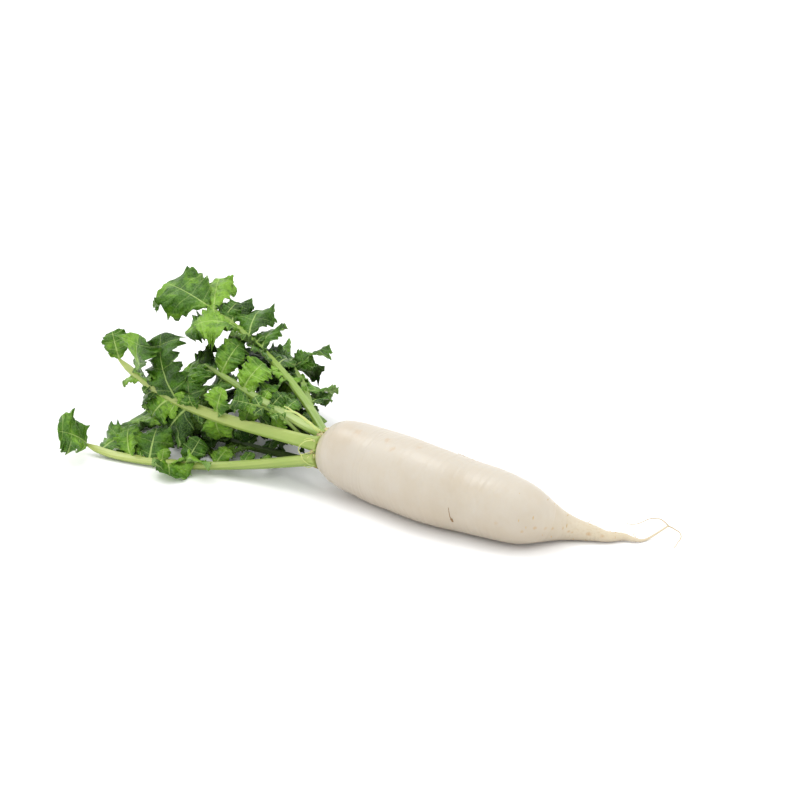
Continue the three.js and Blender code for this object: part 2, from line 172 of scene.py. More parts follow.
# ---- Leaves ----
FLOOR_CLEARANCE = 0.7
FLOOR_SOFTNESS = 1.5
TOOTH_DEPTH = 0.06
NOTCH_DEPTH = 0.12
VEIN_SLOPE = 0.36
ROUND_BASE = 0.7
ROUND_TIP = 0.5
TIP_SHARE = 0.06
FOOT_SHARE = 0.55
FOOT_REACH = 0.06
SIDE_LOBE = dict(teeth=3, width_share=0.45, waves=1.3, rows=54, columns=20)
SMALL_LOBE = dict(teeth=2, width_share=0.44, waves=1, rows=28, columns=12)
END_LOBE = dict(teeth=4, width_share=0.48, waves=1.7, rows=72, columns=28)
SMALL_LOBE_LENGTH = 16

WIDTH_SPREAD = 0.18
LEAN_SPREAD = 0.16
DROOP_SPREAD = 0.5
ROLL_SPREAD = 0.35
TWIST_SPREAD = 0.35
FOLD_RANGE = (0.05, 0.3)
CURL_RANGE = (0.1, 0.4)
RUFFLE_RANGE = (0.2, 0.4)
SIDE_PHASE = 0.4

STALK_FLATNESS = 0.8
STALK_END_SHARE = 0.36
STALK_TAPER = 0.45
BASE_FLARE = 0.05
FLARE_LENGTH = 0.04

LAST_LOBE = 0.97
END_LOBE_AT = 0.985
PLACE_SPREAD = 0.8
SHORTEST_LOBE = 0.22
LOBE_GROWTH = 0.75
LENGTH_SPREAD = 0.15
LIFT_SPREAD = 24
SWEEP_AT_CROWN = 62
SWEEP_FALL = 18
SWEEP_SPREAD = 9

LEAVES = [
    dict(name="leaf_1", seed=1, half_width=5.8, end=36, end_turn=(90, 0, 60),
         stalk=[(-67.3, -9, 31.1), (-152, -5, 5), (-231, -40, -3), (-293, -31, 9)],
         face=[(0, 0.83, 0.56), (-0.1, -0.7, 0.9)], droop=0.8),
    dict(name="leaf_2", seed=22, half_width=5.8, end=28, end_turn=(75, 30, -30),
         stalk=[(-66.8, -6.4, 44.4), (-155, 4, 44), (-219, -2, 43), (-293, 24, 73)],
         face=[(0, -0.91, 0.41), (0, -0.8, 0.6)], droop=0.9),
    dict(name="leaf_3", seed=353, half_width=4.6, end=40,
         stalk=[(-67.2, 4.8, 48.7), (-98, 5, 58), (-153, 30, 59), (-213, 49, 71)],
         face=[(0, -0.24, 0.97), (0, -0.7, 0.7)], droop=0.8),
    dict(name="leaf_4", seed=64, half_width=4.6, pairs=6, first_lobe=0.4, lobe=48, end=58,
         stalk=[(-68.8, 13.8, 43.7), (-101, 40, 59), (-165, 89, 79), (-241, 93, 111)],
         face=[(0, 0.6, 0.8), (0, -0.3, 0.9)], lift=(30, 20), droop=0.8),
    dict(name="leaf_5", seed=75, half_width=4.2, pairs=6, first_lobe=0.3, lobe=50, end=58,
         stalk=[(-67, 0.7, 22.7), (-120, 12, 20), (-190, 36, 4), (-250, 48, 10)],
         face=[(0, 0, 1), (0, -0.3, 1)], lift=(25, 45), droop=0.7),
    dict(name="leaf_6", seed=196, half_width=4.4, pairs=6, first_lobe=0.3, lobe=52, end=60,
         stalk=[(-67.6, 16.5, 34.0), (-98, 28, 42), (-120, 86, 56), (-178, 120, 62)],
         face=[(0, 1, 0.1), (0, -0.2, 1)], lift=(10, 10), droop=0.9),
    dict(name="leaf_7", seed=337, half_width=4.2, pairs=6, first_lobe=0.3, lobe=47, end=54,
         stalk=[(-67.6, 11.5, 25.2), (-100, 26, 28), (-130, 76, 22), (-198, 106, 30)],
         face=[(0, -0.7, 0.7), (0, -0.4, 1)], lift=(15, 15), droop=0.8),
    dict(name="leaf_8", seed=28, half_width=1.9, pairs=3, first_lobe=0.5, lobe=13, end=17,
         stalk=[(-69, 3.4, 35.6), (-97, 5, 42), (-95, 3, 64), (-136, -4, 68)],
         face=[(0, 0, 1), (0.3, -0.5, 0.8)], lift=(10, 10), droop=0.5),
]


# The lobes of the three front leaves: where on the stalk, side, length, and their lift off the
# leaf's plane and sweep to its tip in degrees.
PLACED_LOBES = {
    "leaf_1": [
        (0.905, 1, 42, 0, 105),
        (0.745, 1, 32, 55, 60),
        (0.665, 1, 34, 60, 95),
        (0.585, -1, 34, 25, 120),
        (0.51, 1, 27, 80, 120),
        (0.48, -1, 29, 45, 130),
        (0.39, 1, 21, 75, 115),
        (0.28, 1, 14, 80, 105),
        (0.21, 1, 11, 80, 105),
    ],
    "leaf_2": [
        (0.785, 1, 52, 75, 55),
        (0.685, 1, 36, 25, 35),
        (0.64, 1, 64, 60, 60),
        (0.57, 1, 38, 40, 60),
        (0.54, 1, 32, 60, 65),
        (0.44, 1, 28, 40, 95),
        (0.31, 1, 20, 35, 110),
        (0.845, -1, 22, 20, 20),
        (0.74, -1, 26, 25, 30),
        (0.68, -1, 32, 20, 65),
        (0.58, -1, 42, -5, 55),
        (0.45, -1, 30, -40, 90),
        (0.325, -1, 20, -10, 90),
    ],
    "leaf_3": [
        (0.92, -1, 44, 0, 15),
        (0.78, -1, 41, 0, 15),
        (0.89, 1, 36, 30, 90),
        (0.715, 1, 30, 40, 100),
        (0.655, -1, 15, -25, 40),
        (0.59, -1, 15, 5, 120),
        (0.48, 1, 16, 60, 120),
        (0.66, -1, 32, -50, 60),
        (0.54, -1, 28, -55, 70),
        (0.42, -1, 24, -55, 80),
        (0.6, 1, 24, 0, 80),
        (0.5, 1, 22, 10, 85),
        (0.38, 1, 18, 20, 90),
    ],
}


# What the blades have beyond the solids.
BLADE_THICKNESS = 0.5
SAW_TEETH = 3                       # small teeth to each big one
SAW_DEPTH = 0.09                    # share of the half width
SAW_LEAN = 0.72                     # share of a tooth that its slow rise takes
FRILLS = [(2.1, 0.13), (4.6, 0.06)]  # edge waves to each big tooth, share of the half width
FRILL_PHASE = 0.37                  # between the two sides
PILLOW = 0.075                      # rise between two side veins, share of the half width
CRUMPLE = 0.42                      # millimetres
CRUMPLE_PITCH = (5, 13)             # millimetres
CRUMPLE_WAVES = 4
COLUMN_CROWDING = 1.3               # draws the columns of points in to the midrib
RIB_SHARE = 0.42                    # half width of the midrib at its foot, share of the lobe's
RIB_TIP = 0.14                      # its half width at the tip
RIB_GROOVE = 0.3                    # depth of the groove on top, share of the ridge below
LEAST_HEIGHT = 0.15                 # of a blade's lower face off the floor
LEAST_THICKNESS = 0.1
GRAIN_SPREAD = 200                  # sets each blade at its own place in the grain
LEAFLET_SEED = 50
FIRST_LEAFLET = 0.5                 # place on the stalk
LEAFLET_SHARE = (0.3, 0.5)          # length as a share of the lobes beside it
LEAFLET_PLACES = (0.35, 0.65)       # share of the way from one lobe to the next
LEAFLET_LIFT_SPREAD = 30
LEAFLET_SWEEP = 82
LEAFLET_SWEEP_SPREAD = 18
CANOPY_CELL = 6                     # millimetres
SHADE_DEPTHS = (3, 24)              # millimetres under the tops where shade begins and is full
DEEPEST_SHADE = 0.93
SHADE_COLOUR = (0.005, 0.017, 0.002)
SHADED_SHINE = 0.05
NO_BLADE = -1000.0                  # height of the canopy where no blade is
# Leaves lit from the side: their share of the painted shade, and their range of shaded to lit
# greens.
OPEN_LEAVES = {
    "leaf_1": dict(shade=0.25, greens=(0.3, 0.8)),
    "leaf_5": dict(shade=0.72, greens=(0.0, 1.0)),
}
PALE_STALK = (4.6, 5.8)             # half width of a young, green stalk and of an old, pale one
STALK_START = -0.008                # a little inside the crown
CLASP = 0.2                         # share by which the stalk's foot widens round the crown
CLASP_LENGTH = 0.022
STALK_TIP = 0.07                    # share of the stalk over which it narrows to its tip
STALK_POINT = 0.15                  # share of its width left at the very tip
STALK_LINE = 90                     # points of the line that a stalk grows along
STALK_SHAPE = dict(Rings=130, Sides=57, Ribs=9.0, Rib_Depth=0.03, Groove=0.16)


# ---- Rules shared with the solids ----

def draw(seed, index):
    """An even draw from 0 to 1 that depends on the seed and the index alone.

    The seed tells one lobe or scale from another, and each of its choices has an index."""
    wave = math.sin(seed * 12.9898 + index * 78.233) * 43758.5453
    return wave - math.floor(wave)


def spread(seed, index, reach):
    return (draw(seed, index) * 2 - 1) * reach


def above_floor(height, lowest):
    over = height - lowest
    return lowest + (over + np.sqrt(over * over + FLOOR_SOFTNESS * FLOOR_SOFTNESS)) / 2


def unit(vectors):
    return vectors / np.linalg.norm(vectors, axis=-1, keepdims=True)


def dot(first, second):
    return np.sum(first * second, axis=-1, keepdims=True)


def through_points(points, shares):
    """A uniform Catmull-Rom curve through the points, at shares of the way from first to last."""
    points = np.array(points, float)
    padded = np.vstack([2 * points[0] - points[1], points, 2 * points[-1] - points[-2]])
    place = np.clip(shares, 0, 1) * (len(points) - 1)
    index = np.minimum(place.astype(int), len(points) - 2)
    w = (place - index)[:, None]
    a, b, c, d = (padded[index + k] for k in range(4))
    return 0.5 * (2 * b + (c - a) * w + (2 * a - 5 * b + 4 * c - d) * w ** 2
                  + (3 * b - a - 3 * c + d) * w ** 3)


def stalk_frames(leaf, t):
    """Point, direction, upper side and width direction of the stalk at each t."""
    a, b, c, d = (np.array(point, float) for point in leaf["stalk"])
    t = np.atleast_1d(np.asarray(t, float))[:, None]
    point = (1 - t) ** 3 * a + 3 * t * (1 - t) ** 2 * b + 3 * t ** 2 * (1 - t) * c + t ** 3 * d
    along = unit((1 - t) ** 2 * (b - a) + 2 * t * (1 - t) * (c - b) + t ** 2 * (d - c))
    facing = (1 - t) * np.array(leaf["face"][0], float) + t * np.array(leaf["face"][1], float)
    over = unit(facing - along * dot(facing, along))
    return point, along, over, np.cross(along, over)


def stalk_half_width(leaf, t):
    taper = STALK_END_SHARE + (1 - STALK_END_SHARE) * (1 - t) ** STALK_TAPER
    return leaf["half_width"] * taper * (1 + BASE_FLARE * np.exp(-t / FLARE_LENGTH))


# ---- Meshes ----

def mesh_object(name, points, faces, floats=(), vectors=(), uv=None, smooth=True):
    """An object at the origin from points in millimetres, with its attributes."""
    mesh = bpy.data.meshes.new(name)
    mesh.from_pydata((np.asarray(points) * MM).tolist(), [], [list(face) for face in faces])
    for label, values in dict(floats).items():
        layer = mesh.attributes.new(label, "FLOAT", "POINT")
        layer.data.foreach_set("value", np.asarray(values, np.float32).ravel())
    for label, values in dict(vectors).items():
        layer = mesh.attributes.new(label, "FLOAT_VECTOR", "POINT")
        layer.data.foreach_set("vector", np.asarray(values, np.float32).ravel())
    if uv is not None:
        corners = np.empty(len(mesh.loops), np.int32)
        mesh.loops.foreach_get("vertex_index", corners)
        layer = mesh.uv_layers.new(name="grain")
        layer.data.foreach_set("uv", (np.asarray(uv)[corners] * MM).astype(np.float32).ravel())
    mesh.update()
    if smooth:
        mesh.shade_smooth()
    made = bpy.data.objects.new(name, mesh)
    bpy.context.scene.collection.objects.link(made)
    return made


def grid_faces(rows, columns, start=0, wrapped=False):
    """Quads of a grid of points, row after row; a wrapped one closes on itself round a row."""
    width = columns if wrapped else columns + 1
    row = np.arange(rows)[:, None] * width
    column = np.arange(columns)[None, :]
    beside = (column + 1) % width
    quads = np.stack([row + column, row + beside, row + width + beside, row + width + column], -1)
    return (quads.reshape(-1, 4) + start).tolist()


def finished(piece, node, slot_name, *materials):
    """Rides the piece on the body, in place of its node. A grown piece has its material."""
    for material in materials:
        piece.data.materials.append(material)
    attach(piece, "root")
    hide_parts(node)
    return piece


# ---- Node trees ----

class Tree:
    """Short calls for adding nodes to a tree and joining them."""

    def __init__(self, tree):
        self.tree = tree

    def add(self, kind, inputs=None, **settings):
        made = self.tree.nodes.new(kind)
        for key, value in settings.items():
            setattr(made, key, value)
        for key, value in (inputs or {}).items():
            self.feed(made.inputs[key], value)
        return made

    def feed(self, socket, value):
        if isinstance(value, bpy.types.NodeSocket):
            self.tree.links.new(value, socket)
        else:
            socket.default_value = value

    def times(self, first, second):
        return self.math("MULTIPLY", first, second)

    def math(self, operation, *values, clamp=False):
        made = self.add("ShaderNodeMath", operation=operation, use_clamp=clamp)
        for socket, value in zip(made.inputs, values):
            self.feed(socket, value)
        return made.outputs[0]

    def vector(self, operation, *values, scale=None):
        made = self.add("ShaderNodeVectorMath", operation=operation)
        for socket, value in zip(made.inputs, values):
            self.feed(socket, value)
        if scale is not None:
            self.feed(made.inputs["Scale"], scale)
        return made.outputs["Value" if operation == "DOT_PRODUCT" else "Vector"]

    def ramp(self, value, low, high, to_low=0.0, to_high=1.0):
        """Maps the value from low..high to to_low..to_high, held at the ends, eased between."""
        made = self.add("ShaderNodeMapRange", {
            "Value": value, "From Min": low, "From Max": high,
            "To Min": to_low, "To Max": to_high}, interpolation_type="SMOOTHSTEP")
        return made.outputs["Result"]


class Material(Tree):
    """A node material around one Principled shader."""

    def __init__(self, name, **sockets):
        self.material = bpy.data.materials.new(name)
        self.material.use_nodes = True
        super().__init__(self.material.node_tree)
        self.shader = self.tree.nodes["Principled BSDF"]
        for key, value in sockets.items():
            self.feed(self.shader.inputs[key.replace("_", " ")], value)
        self.place = self.add("ShaderNodeTexCoord").outputs["Object"]

    def attribute(self, name, output="Fac"):
        return self.add("ShaderNodeAttribute", attribute_name=name).outputs[output]

    def stretched(self, scale):
        return self.add("ShaderNodeMapping", {"Vector": self.place, "Scale": scale}).outputs[0]

    def noise(self, scale, detail=3.0, roughness=0.5, where=None):
        return self.add("ShaderNodeTexNoise", {
            "Vector": where or self.place, "Scale": scale, "Detail": detail,
            "Roughness": roughness}).outputs["Fac"]

    def mix(self, share, first, second):
        made = self.add("ShaderNodeMix", data_type="RGBA", blend_type="MIX")
        self.feed(made.inputs["Factor"], share)
        self.feed(made.inputs[6], first)
        self.feed(made.inputs[7], second)
        return made.outputs[2]

    def bump(self, height, distance, strength=1.0, under=None):
        made = self.add("ShaderNodeBump", {
            "Height": height, "Distance": distance, "Strength": strength})
        if under is not None:
            self.feed(made.inputs["Normal"], under)
        return made.outputs["Normal"]

    def shaded(self, colour, share=1.0):
        """Darkens the colour, and dulls its shine, with its depth under the leaves above it."""
        depth = self.times(self.times(self.attribute("shade"), DEEPEST_SHADE), share)
        shine = self.shader.inputs["Specular IOR Level"]
        self.feed(shine, self.ramp(depth, 0.0, 0.8, shine.default_value, SHADED_SHINE))
        return self.mix(depth, colour, rgb(*SHADE_COLOUR))

    def colour(self, socket):
        self.feed(self.shader.inputs["Base Color"], socket)

    def normal(self, socket):
        self.feed(self.shader.inputs["Normal"], socket)


def rgb(red, green, blue):
    return (red, green, blue, 1.0)


# ---- Finishes ----

def root_finish():
    """Waxy off-white skin with fine rings, tan patches and smudges; painted shade and shadow
    below.
    """
    skin = Material("waxy_white_skin", Roughness=0.4, Subsurface_Weight=0.22,
                    Subsurface_Scale=0.006)
    skin.shader.inputs["Subsurface Radius"].default_value = (0.8, 0.65, 0.45)
    skin.shader.inputs["Coat Weight"].default_value = 0.3
    skin.shader.inputs["Coat Roughness"].default_value = 0.35
    along = skin.attribute("along")
    thin = skin.attribute("thinness")
    patches = skin.ramp(skin.noise(22.0, 4.0, 0.6), 0.38, 0.72)
    pale = skin.mix(patches, rgb(0.49, 0.442, 0.366), rgb(0.46, 0.397, 0.304))
    ring_place = skin.add("ShaderNodeCombineXYZ", {
        "X": along, "Y": skin.times(skin.attribute("sine"), 0.012),
        "Z": skin.times(skin.attribute("cosine"), 0.012)}).outputs[0]
    rings = skin.noise(420.0, 5.0, 0.62, ring_place)
    ringed = skin.mix(skin.ramp(rings, 0.5, 0.78, 0.0, 0.36), pale, rgb(0.485, 0.415, 0.31))
    tail = skin.mix(skin.times(thin, 0.75), ringed, rgb(0.56, 0.48, 0.33))
    tail_rings = skin.times(skin.ramp(rings, 0.46, 0.66), skin.times(thin, 0.3))
    creased = skin.mix(tail_rings, tail, rgb(0.42, 0.31, 0.17))
    shoulder = skin.mix(skin.attribute("shoulder"), creased, rgb(0.55, 0.53, 0.30))
    grain = skin.noise(260.0, 4.0, 0.6)
    smudged = shoulder
    for centre, reach, strength in SMUDGES:
        away = skin.vector("SUBTRACT", skin.place, Vector(centre) * MM)
        off = skin.add("ShaderNodeVectorMath", {0: away}, operation="LENGTH").outputs["Value"]
        ragged = skin.math("ADD", off, skin.times(grain, reach * MM * 2.4))
        smudge = skin.ramp(ragged, reach * MM * 1.1, reach * MM * 2.2, strength, 0.0)
        smudged = skin.mix(smudge, smudged, rgb(0.45, 0.31, 0.17))
    speck_field = skin.add("ShaderNodeTexVoronoi", {
        "Vector": skin.stretched((1.6, 1.0, 1.0)), "Scale": 115.0, "Randomness": 1.0})
    speck = skin.ramp(speck_field.outputs["Distance"], 0.05, 0.13, 1.0, 0.0)
    chosen = skin.times(skin.ramp(skin.noise(34.0, 2.0), 0.55, 0.66),
                        skin.times(skin.ramp(thin, 0.0, 0.4, 0.2, 1.0), 0.7))
    specked = skin.mix(skin.times(speck, chosen), smudged, rgb(0.42, 0.29, 0.14))
    # Painted shade: the lower side of the skin darkens towards a dull brown.
    painted_underside_shade = skin.mix(skin.times(skin.attribute("painted_underside_shade"), 0.5), specked,
                     rgb(0.37, 0.31, 0.235))
    # Painted contact shadow: a dark brown line where the underside faces the floor.
    rim = skin.ramp(skin.attribute("cosine"), -0.94, -0.83, 0.65, 0.0)
    skin.colour(skin.mix(rim, painted_underside_shade, rgb(0.27, 0.19, 0.11)))
    coarse = skin.bump(rings, 0.00035, 0.6)
    skin.normal(skin.bump(skin.noise(900.0, 3.0, 0.6), 0.00012, 0.4, coarse))
    return skin.material


def scar_finish():
    """Corky brown of the small cross scars."""
    cork = Material("corky_scar", Roughness=0.8)
    grain = cork.noise(1600.0, 3.0)
    cork.colour(cork.mix(grain, rgb(0.40, 0.26, 0.11), rgb(0.58, 0.42, 0.22)))
    cork.normal(cork.bump(grain, 0.0001, 0.5))
    return cork.material


def crack_finish():
    """Dark brown of the crack."""
    dark = Material("dark_crack", Roughness=0.85)
    grain = dark.noise(1200.0, 3.0)
    dark.colour(dark.mix(grain, rgb(0.12, 0.065, 0.03), rgb(0.36, 0.23, 0.12)))
    return dark.material


def hair_finish():
    """Tan of the wiry hairs."""
    wiry = Material("wiry_hair", Roughness=0.62, Subsurface_Weight=0.1, Subsurface_Scale=0.001)
    grain = wiry.noise(700.0, 3.0)
    wiry.colour(wiry.mix(grain, rgb(0.56, 0.46, 0.31), rgb(0.40, 0.31, 0.19)))
    wiry.normal(wiry.bump(grain, 0.00012, 0.6))
    return wiry.material


def crown_finish():
    """Yellow-green stem flesh with tan rims where old leaves broke off."""
    stem = Material("crown_stem", Roughness=0.5, Subsurface_Weight=0.15, Subsurface_Scale=0.003)
    blotch = stem.ramp(stem.noise(130.0, 4.0), 0.35, 0.7)
    green = stem.mix(blotch, rgb(0.50, 0.55, 0.20), rgb(0.30, 0.38, 0.09))
    rim = stem.ramp(stem.noise(300.0, 3.0, 0.6, stem.stretched((2.4, 1.0, 1.0))), 0.58, 0.7)
    stem.colour(stem.mix(stem.times(rim, 0.6), green, rgb(0.55, 0.40, 0.20)))
    stem.normal(stem.bump(stem.noise(420.0, 4.0), 0.0004, 0.5))
    return stem.material


def scale_finish():
    """Dry papery scale: tan at its ragged end, yellow-green at its foot."""
    paper = Material("papery_scale", Roughness=0.6, Subsurface_Weight=0.2, Subsurface_Scale=0.002)
    step = paper.add("ShaderNodeSeparateXYZ", {
        "Vector": paper.attribute("leaf_grid", "Vector")}).outputs["Y"]
    share = paper.math("DIVIDE", step, SCALE["teeth"])
    fresh = paper.mix(paper.ramp(share, 0.0, 0.8), rgb(0.42, 0.47, 0.12), rgb(0.62, 0.60, 0.30))
    dry = paper.mix(paper.ramp(share, 0.2, 1.0), rgb(0.60, 0.56, 0.30), rgb(0.42, 0.30, 0.15))
    aged = paper.mix(paper.ramp(paper.attribute("tint"), 0.4, 0.75), fresh, dry)
    grain = paper.noise(500.0, 4.0, 0.6)
    paper.colour(paper.mix(paper.ramp(grain, 0.45, 0.75, 0.0, 0.45), aged, rgb(0.30, 0.23, 0.09)))
    paper.normal(paper.bump(grain, 0.0004, 0.6))
    return paper.material


def fibre_finish():
    """Pale yellow-green of the fibres at the crown."""
    fibre = Material("pale_fibre", Roughness=0.5, Subsurface_Weight=0.15, Subsurface_Scale=0.002)
    grain = fibre.noise(350.0, 3.0)
    fibre.colour(fibre.mix(grain, rgb(0.36, 0.46, 0.10), rgb(0.56, 0.62, 0.24)))
    fibre.normal(fibre.bump(grain, 0.0002, 0.5))
    return fibre.material


def stalk_finish():
    """Pale green stalk, lighter on its ribs and near the crown, greener to the tip; painted shade
    below.
    """
    stalk = Material("ribbed_stalk", Roughness=0.36, Subsurface_Weight=0.12,
                     Subsurface_Scale=0.003)
    stalk.shader.inputs["Subsurface Radius"].default_value = (0.8, 1.0, 0.3)
    along = stalk.attribute("along")
    old = stalk.mix(stalk.ramp(along, 0.1, 1.0), rgb(0.43, 0.49, 0.145), rgb(0.29, 0.385, 0.072))
    young = stalk.mix(stalk.ramp(along, 0.0, 0.8), rgb(0.25, 0.36, 0.05), rgb(0.15, 0.27, 0.03))
    pale = stalk.mix(stalk.attribute("youth"), old, young)
    streaks = stalk.noise(1.0, 3.0, 0.6, stalk.add("ShaderNodeCombineXYZ", {
        "X": stalk.times(along, 9.0),
        "Y": stalk.times(stalk.attribute("sine"), 7.0),
        "Z": stalk.times(stalk.attribute("cosine"), 7.0)}).outputs[0])
    light = stalk.mix(stalk.ramp(streaks, 0.28, 0.44, 0.45, 0.0), pale, rgb(0.54, 0.60, 0.24))
    streaked = stalk.mix(stalk.ramp(streaks, 0.46, 0.68, 0.0, 0.6), light, rgb(0.21, 0.34, 0.045))
    ribbed = stalk.mix(stalk.ramp(stalk.attribute("rib"), -0.6, 1.0, 0.22, 0.0), streaked,
                       rgb(0.16, 0.27, 0.04))
    foot = stalk.mix(stalk.ramp(along, 0.0, 0.07, 0.7, 0.0), ribbed, rgb(0.56, 0.60, 0.26))
    # Painted shade: darker green on the sides of the stalk that face down.
    facing = stalk.add("ShaderNodeSeparateXYZ", {
        "Vector": stalk.add("ShaderNodeNewGeometry").outputs["Normal"]}).outputs["Z"]
    below = stalk.mix(stalk.ramp(facing, -0.9, 0.35, 0.75, 0.0), foot, rgb(0.17, 0.27, 0.035))
    stalk.colour(stalk.shaded(below, stalk.attribute("youth")))
    stalk.normal(stalk.bump(stalk.noise(700.0, 3.0), 0.00015, 0.35))
    return stalk.material


def blade_finish():
    """Green blade: dark above, paler below, light veins that run to the teeth; painted light and
    shade.
    """
    blade = Material("leaf_blade", Roughness=0.34, Subsurface_Weight=0.05, Subsurface_Scale=0.001)
    blade.shader.inputs["Specular IOR Level"].default_value = 0.28
    blade.shader.inputs["Subsurface Radius"].default_value = (0.5, 1.0, 0.2)
    grid = blade.add("ShaderNodeSeparateXYZ", {
        "Vector": blade.attribute("leaf_grid", "Vector")})
    across, step, spacing = (grid.outputs[k] for k in ("X", "Y", "Z"))
    under = blade.attribute("under")
    tint = blade.attribute("tint")
    uv = blade.add("ShaderNodeUVMap", uv_map="grain").outputs["UV"]
    from_middle = blade.math("DIVIDE", blade.math("ABSOLUTE", across), blade.attribute("rib"))
    middle = blade.ramp(from_middle, 0.6, 1.4, 1.0, 0.0)
    off_vein = blade.math("ABSOLUTE", blade.math("SUBTRACT", blade.math("FRACT", step), 0.5))
    vein_distance = blade.times(off_vein, spacing)
    side = blade.ramp(vein_distance, 0.1, 0.45, 1.0, 0.0)
    cells = blade.add("ShaderNodeTexVoronoi", {"Vector": uv, "Scale": 420.0},
                      feature="DISTANCE_TO_EDGE", voronoi_dimensions="2D").outputs["Distance"]
    net = blade.ramp(cells, 0.02, 0.16, 1.0, 0.0)
    crumple = blade.noise(210.0, 3.0, 0.55)
    # Partly own tone, partly painted light and shade: greens by lobe and patch, from shaded to
    # lit.
    patches = blade.ramp(blade.noise(48.0, 3.0, 0.6), 0.3, 0.7)
    depth = blade.math("ADD", blade.times(tint, 0.58), blade.times(patches, 0.42))
    deep = blade.mix(blade.ramp(depth, 0.15, 0.55), rgb(0.014, 0.05, 0.002),
                     rgb(0.058, 0.16, 0.008))
    lit = blade.mix(blade.ramp(depth, 0.45, 0.8), deep, rgb(0.19, 0.37, 0.026))
    # Painted shade: near-black green in the hollows of the crumple.
    painted_crease_shade = blade.mix(blade.ramp(crumple, 0.32, 0.52, 0.5, 0.0), lit, rgb(0.014, 0.05, 0.003))
    netted = blade.mix(blade.times(net, 0.2), painted_crease_shade, rgb(0.22, 0.40, 0.07))
    below = blade.mix(blade.times(net, 0.25), rgb(0.21, 0.355, 0.085),
                      rgb(0.32, 0.47, 0.16))
    lamina = blade.mix(under, netted, below)
    veins = blade.math("MAXIMUM", middle, blade.times(side, 0.5))
    coloured = blade.mix(blade.times(veins, 0.8), lamina, rgb(0.40, 0.54, 0.16))
    blade.colour(blade.shaded(coloured))
    relief = blade.math("ADD", blade.times(net, -0.35), blade.times(side, -0.6))
    fine = blade.bump(relief, 0.00022, 0.7)
    blade.normal(blade.bump(crumple, 0.003, 0.95, fine))
    return blade.material


# ---- Root ----

def root_frames(shares):
    """Axis point, direction, upper side and width direction of the root at each share."""
    axis = through_points([station[:3] for station in ROOT_STATIONS], shares)
    nudge = 1e-4
    ahead = through_points([station[:3] for station in ROOT_STATIONS], shares + nudge)
    behind = through_points([station[:3] for station in ROOT_STATIONS], shares - nudge)
    along = unit(ahead - behind)
    up = np.array([0.0, 0.0, 1.0])
    over = unit(up - along * dot(along, up))
    return axis, along, over, np.cross(along, over)


def root_radii(shares):
    return through_points([(station[3],) for station in ROOT_STATIONS], shares)[:, 0]


def ripple(place, seed, waves, shortest, longest):
    """A sum of sine waves with seeded lengths and phases, from -1 to 1 or so."""
    total = np.zeros_like(place)
    for k in range(waves):
        length = shortest * (longest / shortest) ** draw(seed, k)
        total += np.sin(2 * np.pi * (place / length + draw(seed, 50 + k)))
    return total / math.sqrt(waves)


def root_surface():
    """Points of the skin, ring by ring, with the values that its finish reads."""
    shares = np.linspace(0, 1, ROOT_RINGS + 1)
    axis, along, over, across = root_frames(shares)
    angle = np.linspace(0, 2 * np.pi, ROOT_SIDES, endpoint=False)
    sine, cosine = np.sin(angle)[None, :], np.cos(angle)[None, :]
    swell = np.sin(2 * angle[None, :] + shares[:, None] * SWELL_TURNS[0])
    swell = swell + np.sin(3 * angle[None, :] - shares[:, None] * SWELL_TURNS[1])
    radius = root_radii(shares)[:, None]
    length = np.concatenate([[0], np.cumsum(np.linalg.norm(np.diff(axis, axis=0), axis=1))])
    girth = np.minimum(radius / FULL_GIRTH, 1)
    skin = radius * (1 + ROOT_SWELL * swell * (1 + cosine) / 2)
    rings = ripple(length[:, None] + RING_WANDERS[0] * np.sin(angle * 2)[None, :], **RINGS)
    tail_rings = ripple(length[:, None] + RING_WANDERS[1] * np.sin(angle)[None, :], **TAIL_RINGS)
    least, full, most = TAIL_RADII
    on_tail = np.clip((most - radius) / (most - full), 0, 1)
    skin = (skin + RING_HEIGHTS[0] * rings * girth
            + RING_HEIGHTS[1] * tail_rings * on_tail * (radius > least))
    points = axis[:, None] + across[:, None] * (sine * skin)[..., None]
    points = points + over[:, None] * (cosine * skin)[..., None]
    points[..., 2] = np.maximum(points[..., 2], 0)
    ones = np.ones_like(skin)
    values = {
        "along": length[:, None] * MM * ones,
        "sine": sine * ones,
        "cosine": cosine * ones,
        "thinness": np.clip((24 - radius) / 20, 0, 1) ** 1.3 * ones,
        "shoulder": np.clip(1 - length[:, None] / 9, 0, 1) ** 1.5 * 0.6 * ones,
        # Painted shade: grows from the upper flank down to the underside.
        "painted_underside_shade": np.clip(0.3 - cosine, 0, 1) * ones,
    }
    return points, values


def make_root(skin):
    points, values = root_surface()
    rings, sides = points.shape[:2]
    faces = grid_faces(rings - 1, sides, wrapped=True)
    flat = points.reshape(-1, 3)
    last = (rings - 1) * sides
    centres = np.array([points[0].mean(axis=0), points[-1].mean(axis=0)])
    count = len(flat)
    for side in range(sides):
        beside = (side + 1) % sides
        faces.append((count, beside, side))
        faces.append((count + 1, last + side, last + beside))
    floats = {key: np.append(value.ravel(), [value[0, 0], value[-1, 0]])
              for key, value in values.items()}
    root = mesh_object("root_skin", np.vstack([flat, centres]), faces, floats)
    outward(root)
    return finished(root, "root", "root_skin", skin)


def outward(piece):
    """Turns the faces so that they look out of the closed shell."""
    shell = bmesh.new()
    shell.from_mesh(piece.data)
    bmesh.ops.recalc_face_normals(shell, faces=shell.faces)
    shell.to_mesh(piece.data)
    shell.free()


# ---- Crown ----

